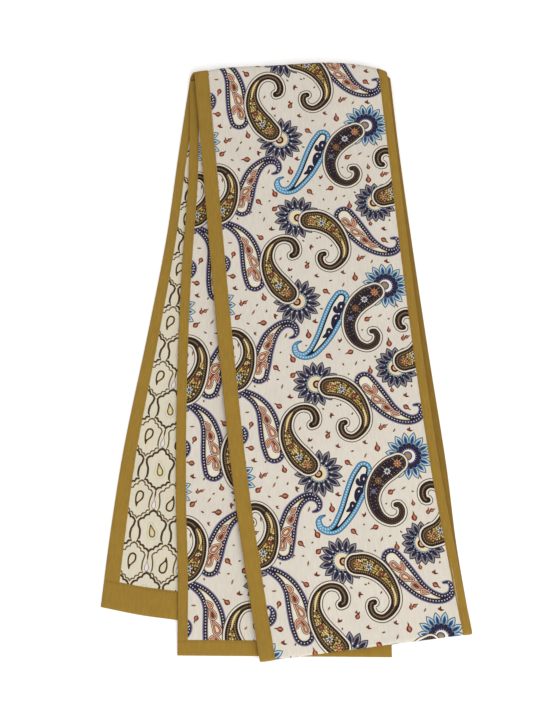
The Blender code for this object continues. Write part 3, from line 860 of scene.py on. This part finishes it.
def flat_face(outline, shapes, loose, ground, split):
    """(points, triangles, inks) of the inside of an outline, cut along every edge of the shapes over it."""
    outline = np.asarray(outline, float)
    low, high = outline.min(axis=0), outline.max(axis=0)
    points, loops, inks = [outline], [list(range(len(outline)))], [INK_NAMES.index(ground)]
    count = len(outline)
    for shape, ink in shapes:
        if (shape.max(axis=0) < low).any() or (shape.min(axis=0) > high).any():
            continue
        x, y = shape[:, 0], shape[:, 1]
        order = 1 if np.dot(x, np.roll(y, -1)) > np.dot(y, np.roll(x, -1)) else -1
        points.append(shape[::order])
        loops.append(list(range(count, count + len(shape))))
        inks.append(ink)
        count += len(shape)
    points.append(np.array([(low[0] - 1.0, split), (high[0] + 1.0, split)]))
    points.append(np.asarray(loose, float))
    where = [Vector(p) for p in np.concatenate(points)]
    out = delaunay_2d_cdt(where, [(count, count + 1)], loops, 1, 1e-5)
    kept = [(face, inks[max(owners)]) for face, owners in zip(out[2], out[5]) if 0 in owners]
    used = sorted({corner for face, _ in kept for corner in face})
    renumber = {corner: k for k, corner in enumerate(used)}
    triangles = np.array([[renumber[corner] for corner in face] for face, _ in kept])
    return np.array([tuple(out[0][k]) for k in used]), triangles, [ink for _, ink in kept]


def rim_of(flat, triangles, corner):
    """Vertices round the edge of a flat face from the one nearest the corner, and their running lengths."""
    edges = {(int(a), int(b)) for tri in triangles for a, b in zip(tri, np.roll(tri, -1))}
    following = {a: b for a, b in edges if (b, a) not in edges}
    start = min(following, key=lambda k: np.linalg.norm(flat[k] - corner))
    loop = [start]
    while following[loop[-1]] != start:
        loop.append(following[loop[-1]])
    steps = np.linalg.norm(np.diff(flat[loop + [start]], axis=0), axis=1)
    return loop, np.concatenate([[0.0], np.cumsum(steps)])


def bridge(upper, upper_at, lower, lower_at):
    """Triangles between two loops that run the same way round, with their points' running lengths."""
    faces = []
    i = j = 0
    while i < len(upper) or j < len(lower):
        a, b = upper[i % len(upper)], lower[j % len(lower)]
        if j >= len(lower) or (i < len(upper) and upper_at[i + 1] <= lower_at[j + 1]):
            i += 1
            faces.append((a, upper[i % len(upper)], b))
        else:
            j += 1
            faces.append((a, lower[j % len(lower)], b))
    return faces


def grid_points(us, tops, feet, pitch, dense):
    """Loose points inside a panel, with closer rows near the middles in dense: (s for us, reach, step)."""
    found = []
    for u in np.arange(us[0] + pitch / 2, us[-1], pitch):
        top, foot = np.interp(u, us, tops), np.interp(u, us, feet)
        rows = [np.arange(top + pitch / 2, foot - 0.8, pitch)]
        for centre, reach, step in dense:
            middle = np.interp(u, us, centre)
            rows.append(np.arange(middle - reach, middle + reach, step))
        rows = np.concatenate(rows)
        found += [(u, s) for s in rows[(rows > top + 0.3) & (rows < foot - 0.3)]]
    return found


def fold_rows(stretch, us):
    """For grid_points: the middle of each fold's turn, and closer rows past it on both sides."""
    dense = []
    for fold, sign in stretch.folds:
        middle = fold.read(fold.start + sign * fold.length / 2, us / MM) * MM
        reach = float(fold.length.max()) * MM / 2 + 0.8
        dense.append((middle, reach, reach / 9))
    return dense


def panel(name, stretch, span, ends, upper_print, lower_print, ground, relief):
    """A closed sheet of cloth between two bindings, printed on its upper face and maybe on its lower one.

    span is the u of its long edges; ends gives the s of its top and foot for columns of u; a print is a
    function from the lowest and highest s to shapes and inks.
    """
    us = np.linspace(span[0], span[1], PANEL_COLUMNS) * MM
    tops, feet = (values * MM for values in ends(us / MM))
    low, high = tops.min(), feet.max()
    split = (low + high) / 2
    outline = list(zip(us, tops)) + list(zip(us, feet))[::-1]
    dense = fold_rows(stretch, us)
    loose = grid_points(us, tops, feet, LOOSE_PITCH, dense)
    upper, upper_faces, upper_inks = flat_face(outline, upper_print(low, high), loose, ground, split)
    lower, lower_faces, lower_inks = flat_face(outline, lower_print(low, high), loose,
                                               OTHER_GROUND[ground], split)
    count = len(upper)
    corner = np.array([us[0], tops[0]])
    upper_loop, upper_at = rim_of(upper, upper_faces, corner)
    lower_loop, lower_at = rim_of(lower, lower_faces, corner)
    rim = bridge(upper_loop, upper_at, [k + count for k in lower_loop], lower_at)
    # s points down the strip, so a face drawn with u right and s up is turned over on the upper side
    triangles = np.concatenate([upper_faces[:, ::-1], lower_faces + count, np.array(rim)])
    flat = np.concatenate([upper, lower])
    half = PANEL_WALL / 2
    upper_lift = half + relief(upper[:, 0], upper[:, 1])
    lift = np.concatenate([upper_lift, np.full(len(lower), LOWER_INSET - half)])
    points = cloth_points(stretch, flat[:, 0] / MM, flat[:, 1] / MM, PANEL_WALL, lift)
    piece = link_mesh(name, points, triangles)
    inks = np.concatenate([upper_inks, lower_inks, np.full(len(rim), INK_NAMES.index(ground))]).astype(int)
    paint_faces(piece.data, inks)
    cloth_map(piece.data, flat)
    side = np.repeat([0, 1, 2], [len(upper_faces), len(lower_faces), len(rim)])
    bake_map(piece.data, flat, side, (us[0], us[-1], low, high, split), stretch is BACK)
    return piece


def corner_points(mesh):
    corner = np.empty(len(mesh.loops), np.int32)
    mesh.loops.foreach_get("vertex_index", corner)
    return corner


def paint_faces(mesh, inks):
    colours = np.array([INK[name] + (1.0,) for name in INK_NAMES])
    attribute = mesh.color_attributes.new("ink", "FLOAT_COLOR", "CORNER")
    attribute.data.foreach_set("color", np.repeat(colours[inks], 3, axis=0).astype(np.float32).ravel())


def cloth_map(mesh, flat):
    """A map in metres of flat cloth, which the weave reads."""
    layer = mesh.uv_layers.new(name="cloth")
    layer.data.foreach_set("uv", (flat[corner_points(mesh)] / MM).astype(np.float32).ravel())


def bake_map(mesh, flat, side, box, both):
    """A map that fills the square: each printed face in two columns, a plain one and the rim in strips."""
    u0, u1, low, high, split = box
    spot = flat[corner_points(mesh)].reshape(-1, 3, 2)
    across = (spot[..., 0] - u0) / (u1 - u0)
    part = (spot[..., 1].mean(axis=1) > split).astype(float)[:, None]
    along = (spot[..., 1] - np.where(part > 0, split, low)) / np.where(part > 0, high - split, split - low)
    width = 0.25 if both else 0.47
    column = np.where(side[:, None] == 1, 2.0 + part if both else 2.0, part)
    strip = np.where((side[:, None] == 1) & (not both), 0.06, width)
    x = column * width + BAKE_GAP / 2 + across * (strip - BAKE_GAP)
    y = BAKE_GAP / 2 + along * (0.97 - BAKE_GAP)
    if not both:
        plain = side[:, None] == 1
        y = np.where(plain, BAKE_GAP / 2 + (0.5 * part + 0.5 * along) * (0.97 - BAKE_GAP), y)
    rim = side[:, None] == 2
    run = (spot[..., 0] + spot[..., 1] - u0 - low) / (u1 - u0 + high - low)
    x = np.where(rim, run, x)
    y = np.where(rim, 0.98 + 0.015 * np.array([0.0, 0.5, 1.0]), y)
    layer = mesh.uv_layers.new(name="OFBake")
    layer.data.foreach_set("uv", np.stack([x, y], axis=-1).astype(np.float32).ravel())


# ---------------------------------------------------------------- bindings
BAND_CROWN = 0.00012  # rise of a band's upper side
BAND_STOPS = 170  # rings along a long binding
FOLD_STOPS = 16  # and more of them round each fold
END_COLUMNS = 64
PRESSED_RUN = 0.0007  # length over which an end band's ends are pressed thin


def band_profile(width, wall):
    """Points (across, lift) round a folded band: inner edge, upper side, fold and lower side."""
    half = wall / 2
    points = [(0.0, -half + 0.00005), (0.0, half - 0.00035), (0.00012, half - 0.00012), (0.0004, half)]
    for share in (0.2, 0.4, 0.6, 0.8):
        points.append((width * share, half + BAND_CROWN * math.sin(math.pi * share)))
    for angle in np.radians((75, 45, 15, -15, -45, -75)):
        points.append((width - half + half * math.cos(angle), half * math.sin(angle)))
    points += [(width * share, -half) for share in (0.75, 0.5, 0.25)]
    return np.array(points)


def band_mesh(name, stretch, rings, seams, turned, relief):
    """A closed tube of rings (u, s, lift in metres) with flat ends, and a seam map for its stitches."""
    rings = np.array(rings)
    count = rings.shape[1]
    u, s, lift = rings.reshape(-1, 3).T
    lift = lift + np.where(lift > 0, relief(u * MM, s * MM), 0.0)
    points = cloth_points(stretch, u, s, BINDING_WALL, lift)
    faces = []
    for i in range(len(rings) - 1):
        for j in range(count):
            k = (j + 1) % count
            faces.append((i * count + j, i * count + k, (i + 1) * count + k, (i + 1) * count + j))
    faces.append(tuple(range(count))[::-1])
    faces.append(tuple(range((len(rings) - 1) * count, len(rings) * count)))
    piece = link_mesh(name, points, [face[::-1] for face in faces] if turned else faces)
    cloth_map(piece.data, np.stack([u, s], axis=1) * MM)
    layer = piece.data.uv_layers.new(name="seam")
    seams = np.array(seams).reshape(-1, 2)
    layer.data.foreach_set("uv", seams[corner_points(piece.data)].astype(np.float32).ravel())
    return piece


def long_binding(name, stretch, side, ends, widths, relief):
    """A folded band along a long edge; side is -1 on the left. widths go with the middle line's points."""
    edge = np.array([side * HALF])
    top, foot = (float(values[0]) for values in ends(edge))
    stops = list(np.linspace(top, foot, BAND_STOPS))
    for fold, sign in stretch.folds:
        start, length = float(fold.read(fold.start, edge)[0]), float(fold.read(fold.length, edge)[0])
        stops += list(start + sign * np.linspace(-0.0006, length, FOLD_STOPS))
    rings, seams = [], []
    for stop in sorted(stop for stop in stops if top <= stop <= foot):
        width = float(read_curve(stretch.ys, widths, stretch.y_at(stop))[0])
        profile = band_profile(width - SEAM_GAP / 2, BINDING_WALL)
        us = edge - side * (profile[:, 0].max() - profile[:, 0])
        tops, feet = ends(us)
        s = tops + (stop - top) / (foot - top) * (feet - tops)
        rings.append(np.stack([us, s, profile[:, 1]], axis=1))
        seams.append(np.stack([profile[:, 0], np.full(len(us), stop)], axis=1))
    return band_mesh(name, stretch, rings, seams, side > 0, relief)


def end_band(name, stretch, height, relief):
    """The folded band across a stretch's foot. Its ends are pressed thin, as a turned-in end is."""
    end = np.array([0.0, 0.0002, PRESSED_RUN])
    us = np.concatenate([end - HALF, np.linspace(0.002 - HALF, HALF - 0.002, END_COLUMNS),
                         (HALF - end)[::-1]])
    feet = stretch.s_at(stretch.reach(us, stretch.foot_line, 0.0))
    crests = stretch.s_at(stretch.reach(us, stretch.foot_line, height - SEAM_GAP / 2))
    rings, seams = [], []
    for u, foot, crest in zip(us, feet, crests):
        profile = band_profile(foot - crest, BINDING_WALL)
        edge = min(1.0, (HALF - abs(u)) / PRESSED_RUN)
        pinch = max(0.2, math.sqrt(max(0.0, 1.0 - (1.0 - edge) ** 2)))
        column = np.full(len(profile), u)
        rings.append(np.stack([column, crest + profile[:, 0], profile[:, 1] * pinch], axis=1))
        seams.append(np.stack([profile[:, 0], column], axis=1))
    return band_mesh(name, stretch, rings, seams, False, relief)


# ---------------------------------------------------------------- soft relief of the cloth
def ripple(u, s, rows):
    """Sum of soft troughs and ridges: rows are middle u, s, turn in degrees, length, width, depth (mm)."""
    total = np.zeros_like(u)
    for cu, cs, turn, length, width, depth in rows:
        c, q = math.cos(math.radians(turn)), math.sin(math.radians(turn))
        along = (u - cu) * c + (s - cs) * q
        across = -(u - cu) * q + (s - cs) * c
        total += depth * np.exp(-(along / length) ** 2 - (across / width) ** 2)
    return total


# Rows of creases for ripple.
FRONT_CREASES = (
    (-20.0, 60.0, 82, 45.0, 7.0, 0.16), (18.0, 140.0, 95, 60.0, 9.0, -0.14),
    (-5.0, 235.0, 84, 50.0, 8.0, 0.15), (38.0, 300.0, 97, 40.0, 7.0, -0.12),
    (-30.0, 330.0, 88, 35.0, 6.0, 0.14), (40.0, 40.0, 80, 30.0, 8.0, 0.12),
    (0.0, 190.0, 8, 50.0, 5.0, -0.08), (10.0, 372.0, 5, 40.0, 7.0, -0.12),
)
MIDDLE_CREASES = (
    (-40.0, 330.0, 84, 40.0, 8.0, 0.2), (-26.0, 340.0, 92, 45.0, 6.0, -0.15),
    (-45.0, 240.0, 88, 30.0, 7.0, 0.12), (20.0, 120.0, 85, 50.0, 9.0, 0.12),
)
BACK_CREASES = (
    (-45.0, 300.0, 86, 45.0, 9.0, 0.14), (-35.0, 345.0, 60, 20.0, 7.0, -0.12),
    (-50.0, 200.0, 90, 40.0, 8.0, 0.1), (15.0, 90.0, 94, 50.0, 8.0, -0.12),
)
PUCKER_REACH = 2.6  # millimetres from a seam
PUCKER_SINK = 0.04


def relief_of(rows, span):
    """Relief in metres for u, s in millimetres: creases, and small puckers beside the bindings."""
    left, right = span[0] * MM, span[1] * MM

    def relief(u, s):
        near = sum(np.exp(-((u - edge) / PUCKER_REACH) ** 2) for edge in (left, right))
        pucker = 0.05 * np.sin(s * 0.83 + 1.3 * np.sin(s * 0.11)) + 0.03 * np.sin(s * 1.71 + 0.7)
        return (ripple(u, s, rows) + near * (pucker - PUCKER_SINK)) / MM
    return relief


# ---------------------------------------------------------------- materials
STITCH_LINE = 0.0011  # from a binding's inner edge
STITCH_HALF_WIDTH = 0.00022
STITCH_PITCH = 0.0027
STITCH_SHARE = 0.74
THREAD_DEPTH = 0.00012
SHEEN_ROUGHNESS = 0.45
CLOTH_SPECULAR = 0.2


def node(tree, kind, **settings):
    made = tree.nodes.new(kind)
    for key, value in settings.items():
        setattr(made, key, value)
    return made


def maths(tree, operation, *values):
    made = node(tree, "ShaderNodeMath", operation=operation)
    for socket, value in zip(made.inputs, values):
        if isinstance(value, (int, float)):
            socket.default_value = value
        else:
            tree.links.new(value, socket)
    return made.outputs[0]


def ranged(tree, value, low, high, from_low=0.3, from_high=0.7):
    made = node(tree, "ShaderNodeMapRange")
    tree.links.new(value, made.inputs["Value"])
    limits = {"From Min": from_low, "From Max": from_high, "To Min": low, "To Max": high}
    for name, number in limits.items():
        made.inputs[name].default_value = number
    return made.outputs[0]


def noise(tree, where, scale, detail, stretch=(1.0, 1.0, 1.0)):
    scaled = node(tree, "ShaderNodeVectorMath", operation="MULTIPLY")
    tree.links.new(where, scaled.inputs[0])
    scaled.inputs[1].default_value = stretch
    made = node(tree, "ShaderNodeTexNoise", noise_dimensions="2D")
    tree.links.new(scaled.outputs[0], made.inputs["Vector"])
    made.inputs["Scale"].default_value = scale
    made.inputs["Detail"].default_value = detail
    return made.outputs["Fac"]


def stitch_mask(tree):
    """1 on the stitches that run beside a binding's inner edge, from the seam map."""
    where = node(tree, "ShaderNodeUVMap", uv_map="seam")
    split = node(tree, "ShaderNodeSeparateXYZ")
    tree.links.new(where.outputs[0], split.inputs[0])
    off_line = maths(tree, "ABSOLUTE", maths(tree, "SUBTRACT", split.outputs[0], STITCH_LINE))
    on_line = maths(tree, "LESS_THAN", off_line, STITCH_HALF_WIDTH)
    phase = maths(tree, "FRACT", maths(tree, "MULTIPLY", split.outputs[1], 1.0 / STITCH_PITCH))
    return maths(tree, "MULTIPLY", on_line, maths(tree, "LESS_THAN", phase, STITCH_SHARE))


def cloth_material(name, colour, roughness, pitch, slant, bump, sheen, mottling, stitched=False):
    """Woven cloth with thread relief, slubs and a soft sheen, over one colour or the painted inks."""
    material = bpy.data.materials.new(name)
    material.use_nodes = True
    tree = material.node_tree
    shader = tree.nodes["Principled BSDF"]
    where = node(tree, "ShaderNodeUVMap", uv_map="cloth").outputs[0]
    split = node(tree, "ShaderNodeSeparateXYZ")
    tree.links.new(where, split.inputs[0])
    across = maths(tree, "MULTIPLY", split.outputs[0], 2 * math.pi / pitch)
    along = maths(tree, "MULTIPLY", split.outputs[1], 2 * math.pi / pitch)
    warp = maths(tree, "SINE", maths(tree, "ADD", across, maths(tree, "MULTIPLY", along, slant)))
    threads = maths(tree, "ADD", warp, maths(tree, "MULTIPLY", maths(tree, "SINE", along), 0.6))
    slub = noise(tree, where, 900.0, 3.0, (1.0, 0.16, 1.0))
    cloud = noise(tree, where, 42.0, 4.0)
    mixed = maths(tree, "ADD", maths(tree, "MULTIPLY", slub, 0.65), maths(tree, "MULTIPLY", cloud, 0.35))
    shade = maths(tree, "ADD", maths(tree, "MULTIPLY", threads, 0.03),
                  ranged(tree, mixed, 1.0 - mottling, 1.0 + mottling))
    height = maths(tree, "ADD", threads, slub)
    if stitched:
        stitch = stitch_mask(tree)
        shade = maths(tree, "SUBTRACT", shade, maths(tree, "MULTIPLY", stitch, 0.14))
        height = maths(tree, "SUBTRACT", height, maths(tree, "MULTIPLY", stitch, 2.0))
    tint = node(tree, "ShaderNodeVectorMath", operation="SCALE")
    tree.links.new(shade, tint.inputs["Scale"])
    if colour:
        tint.inputs[0].default_value = colour
    else:
        inks = node(tree, "ShaderNodeVertexColor", layer_name="ink")
        tree.links.new(inks.outputs["Color"], tint.inputs[0])
    tree.links.new(tint.outputs[0], shader.inputs["Base Color"])
    tree.links.new(ranged(tree, cloud, roughness - 0.06, roughness + 0.06), shader.inputs["Roughness"])
    relief = node(tree, "ShaderNodeBump")
    relief.inputs["Strength"].default_value = bump
    relief.inputs["Distance"].default_value = THREAD_DEPTH
    tree.links.new(height, relief.inputs["Height"])
    tree.links.new(relief.outputs["Normal"], shader.inputs["Normal"])
    shader.inputs["Sheen Weight"].default_value = sheen
    shader.inputs["Sheen Roughness"].default_value = SHEEN_ROUGHNESS
    shader.inputs["Specular IOR Level"].default_value = CLOTH_SPECULAR
    return material


PRINTED = {"colour": None, "roughness": 0.85, "pitch": 0.00045, "slant": 0.0, "bump": 0.35, "sheen": 0.03}
BOUND = {"pitch": 0.00085, "slant": 1.0, "bump": 0.5, "stitched": True}
PAISLEY_CLOTH = cloth_material("paisley_cloth", mottling=0.06, **PRINTED)
TRELLIS_CLOTH = cloth_material("trellis_cloth", mottling=0.05, **PRINTED)
GOLD_CLOTH = cloth_material("gold_cloth", linear(154, 121, 46), 0.78, sheen=0.06, mottling=0.10, **BOUND)
# The same gold cloth a step darker, as painted shade: it stands in for the shadow in the crevice under the
# front's folded edge.
PAINTED_SHADE_GOLD_CLOTH = cloth_material("painted_shade_gold_cloth", linear(136, 104, 38), 0.8, sheen=0.04,
                                 mottling=0.12, **BOUND)


def dress(piece, material, slot, *nodes):
    piece.data.materials.clear()
    piece.data.materials.append(material)
    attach(piece, "root")
    if nodes:
        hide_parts(*nodes)
    return piece


# ---------------------------------------------------------------- the pieces
def panel_span(left_width, right_width):
    """The u of a panel's long edges, which reach in under its bindings."""
    return -HALF + left_width - TUCK, HALF - right_width + TUCK


# Where each stretch's panel and long bindings start and end, for columns of u.
ENDS = {
    "front": partial(ends_of, FRONT, OUTER_LINE, BOTTOM_LINE),
    "inner": partial(ends_of, INNER, INNER_LINE, (BOTTOM_CREST, BOTTOM_LINE[1] + JOIN_GAP)),
    "middle": partial(ends_of, MIDDLE, (TOP_CREST, INNER_LINE[1] - JOIN_GAP),
                      (MIDDLE_END, MIDDLE_BAND - TUCK)),
    "back": partial(ends_of, BACK, (TOP_CREST, OUTER_LINE[1] - JOIN_GAP), (BACK_END, BACK_BAND - TUCK)),
}


SPECK = 0.84  # the largest mark that a plainer print leaves out
LONG_OUTLINE = 24  # points
PEEK_SLANT = 0.145
FRONT_PHASE = np.array([0.0, 0.0])
MIDDLE_PHASE = np.array([-3.2, 9.8])


def drawn_askew(outline):
    """The front's print, drawn up to the left of the top fold and running askew towards the foot."""
    u, s = outline.T
    near_fold = np.exp(-np.clip(s, 0.0, None) / 28.0) * smooth_step((22.0 - u) / 50.0)
    askew = smooth_step((s - 250.0) / 65.0)
    moved = -5.8 * near_fold + (0.05 * u - 0.5) * askew
    across = 2.4 * np.exp(-np.clip(s, 0.0, None) / 16.0) - 0.022 * u * askew
    return np.stack([u + across, s + moved], axis=1)


def front_paisley(low, high):
    shapes = paisley_over(low - 6.0, high + 6.0, FRONT_PHASE)
    return [(drawn_askew(outline), ink) for outline, ink in shapes]


def drawn_down(outline):
    """The middle's print, drawn down and to the left where the cloth lies loose below its half."""
    u, s = outline.T
    loose = smooth_step((s - 208.0) / 20.0) * smooth_step((298.0 - s) / 16.0)
    moved = 3.0 * loose + smooth_step((s - 330.0) / 20.0)
    across = -0.8 * smooth_step((s - 235.0) / 15.0) - 0.6 * smooth_step((s - 295.0) / 15.0)
    return np.stack([u + across, s + moved], axis=1)


def middle_paisley(low, high):
    shapes = paisley_over(low - 4.0, high + 4.0, MIDDLE_PHASE)
    return [(drawn_down(outline), ink) for outline, ink in shapes]


def plainer(shapes):
    """A print for a face that lies down, out of sight: no specks, and half the points of a long outline."""
    return [(outline[::2] if len(outline) > LONG_OUTLINE else outline, ink) for outline, ink in shapes
            if np.ptp(outline, axis=0).max() > SPECK]


def peeking(shapes):
    """The shapes that reach past the right edge of the layer below, which shows more further down."""
    return [(outline, ink) for outline, ink in shapes
            if outline[:, 0].max() > HALF * MM - PEEK_SLANT * outline[:, 1].max()]


def back_under(low, high):
    """The paisley face goes round the top fold and lies face down under the back stretch."""
    return plainer(paisley_over(low, high, FRONT_PHASE + (0.0, 8.0), -1.0))


def inner_under(low, high):
    return peeking(plainer(paisley_over(low, high, MIDDLE_PHASE, -1.0)))


def middle_under(low, high):
    return peeking(plainer(trellis_over(low, high)))


def no_print(low, high):
    return ()


# The stretch, its upper print and lower print, the ground ink of its upper face, and its creases.
PANELS = {
    "front": (FRONT, front_paisley, no_print, "cream", FRONT_CREASES),
    "inner": (INNER, no_print, inner_under, "ivory", ()),
    "middle": (MIDDLE, middle_paisley, middle_under, "cream", MIDDLE_CREASES),
    "back": (BACK, trellis_over, back_under, "ivory", BACK_CREASES),
}


# By ground ink: the material and the slot.
PANEL_LOOKS = {"cream": (PAISLEY_CLOTH, "paisley_print"), "ivory": (TRELLIS_CLOTH, "trellis_print")}


def build_stretch(name):
    """The panel and long bindings of one stretch."""
    stretch, upper, lower, ground, creases = PANELS[name]
    ends = ENDS[name]
    span = panel_span(min(stretch.lefts), min(stretch.rights))
    relief = relief_of(creases, span)
    sheet = panel(name + "_panel_cloth", stretch, span, ends, upper, lower, ground, relief)
    cloth, slot = PANEL_LOOKS[ground]
    hidden = name == "inner"
    dress(sheet, cloth, "gold_cotton" if hidden else slot, "inner_stretch" if hidden else name + "_panel")
    bands = []
    for side, word, widths in ((-1, "left", stretch.lefts), (1, "right", stretch.rights)):
        band = long_binding(f"{name}_{word}_edge", stretch, side, ends, widths, relief)
        nodes = () if hidden else (f"{name}_{word}_binding",)
        # the inner stretch's bindings take the darker gold cloth, which is painted shade
        bands.append(dress(band, PAINTED_SHADE_GOLD_CLOTH if hidden else GOLD_CLOTH, "gold_cotton", *nodes))
    return sheet, bands


def build_foot_band(name, stretch, height):
    """The end band of one stretch."""
    band = end_band(name + "_foot_band", stretch, height, relief_of((), (-HALF, HALF)))
    return dress(band, GOLD_CLOTH, "gold_cotton", name + "_end_band")


front_cloth, front_bands = build_stretch("front")
inner_cloth, inner_bands = build_stretch("inner")
middle_cloth, middle_bands = build_stretch("middle")
back_cloth, back_bands = build_stretch("back")
middle_bands.append(build_foot_band("middle", MIDDLE, MIDDLE_BAND))
back_bands.append(build_foot_band("back", BACK, BACK_BAND))


# ---------------------------------------------------------------- floor, light and camera
FLOOR_REACH = 4.0
FLOOR_DROP = 0.0002  # the floor lies this far below the cloth
FLOOR_GLOW = 0.2
KEY_PLACE = (0.45, -0.95, 1.10)
KEY_SIZE = 1.1
KEY_POWER = 12.5
KEY_COLOUR = (1.0, 0.99, 0.97)
STUDIO_COLOUR = (1.0, 0.998, 0.99, 1.0)
STUDIO_STRENGTH = 0.69
CAMERA_DISTANCE = 0.837
CAMERA_TILT = math.radians(15)
IMAGE_HEIGHT = 708
FOCAL_PIXELS = 1300.0
SENSOR = 36.0


def build_floor():
    material = bpy.data.materials.new("pale_floor")
    material.use_nodes = True
    tree = material.node_tree
    shader = tree.nodes["Principled BSDF"]
    cloud = node(tree, "ShaderNodeTexNoise")
    cloud.inputs["Scale"].default_value = 6.0
    join = node(tree, "ShaderNodeCombineColor")
    for socket in join.inputs:
        tree.links.new(ranged(tree, cloud.outputs["Fac"], 0.955, 0.97), socket)
    tree.links.new(join.outputs[0], shader.inputs["Base Color"])
    shader.inputs["Roughness"].default_value = 0.9
    shader.inputs["Specular IOR Level"].default_value = 0.1
    shader.inputs["Emission Color"].default_value = (1.0, 1.0, 1.0, 1.0)
    shader.inputs["Emission Strength"].default_value = FLOOR_GLOW
    corners = [(x * FLOOR_REACH, y * FLOOR_REACH, 0.0) for x, y in ((-1, -1), (1, -1), (1, 1), (-1, 1))]
    floor = link_mesh("floor", corners, [(0, 1, 2, 3)], False)
    floor.location.z = -FLOOR_DROP
    floor.data.materials.append(material)


def area_light(name, place, size, power, colour):
    data = bpy.data.lights.new(name, "AREA")
    data.size = size
    data.energy = power
    data.color = colour
    lamp = bpy.data.objects.new(name, data)
    lamp.location = place
    lamp.rotation_euler = (-Vector(place)).to_track_quat("-Z", "Y").to_euler()
    bpy.context.scene.collection.objects.link(lamp)


def light_scene():
    world = bpy.data.worlds.new("studio")
    bpy.context.scene.world = world
    world.use_nodes = True
    background = world.node_tree.nodes["Background"]
    background.inputs["Color"].default_value = STUDIO_COLOUR
    background.inputs["Strength"].default_value = STUDIO_STRENGTH
    area_light("key", KEY_PLACE, KEY_SIZE, KEY_POWER, KEY_COLOUR)
    bpy.context.scene.view_settings.view_transform = "Standard"


def place_camera():
    data = bpy.data.cameras.new("camera")
    data.sensor_fit = "VERTICAL"
    data.sensor_height = SENSOR
    data.lens = SENSOR * FOCAL_PIXELS / IMAGE_HEIGHT
    data.clip_start = 0.01
    camera = bpy.data.objects.new("camera", data)
    back = Vector((0.0, -math.sin(CAMERA_TILT), math.cos(CAMERA_TILT)))
    camera.location = back * CAMERA_DISTANCE - PLAN_MIDDLE
    camera.rotation_euler = (CAMERA_TILT, 0.0, 0.0)
    bpy.context.scene.collection.objects.link(camera)
    bpy.context.scene.camera = camera


build_floor()
light_scene()
place_camera()
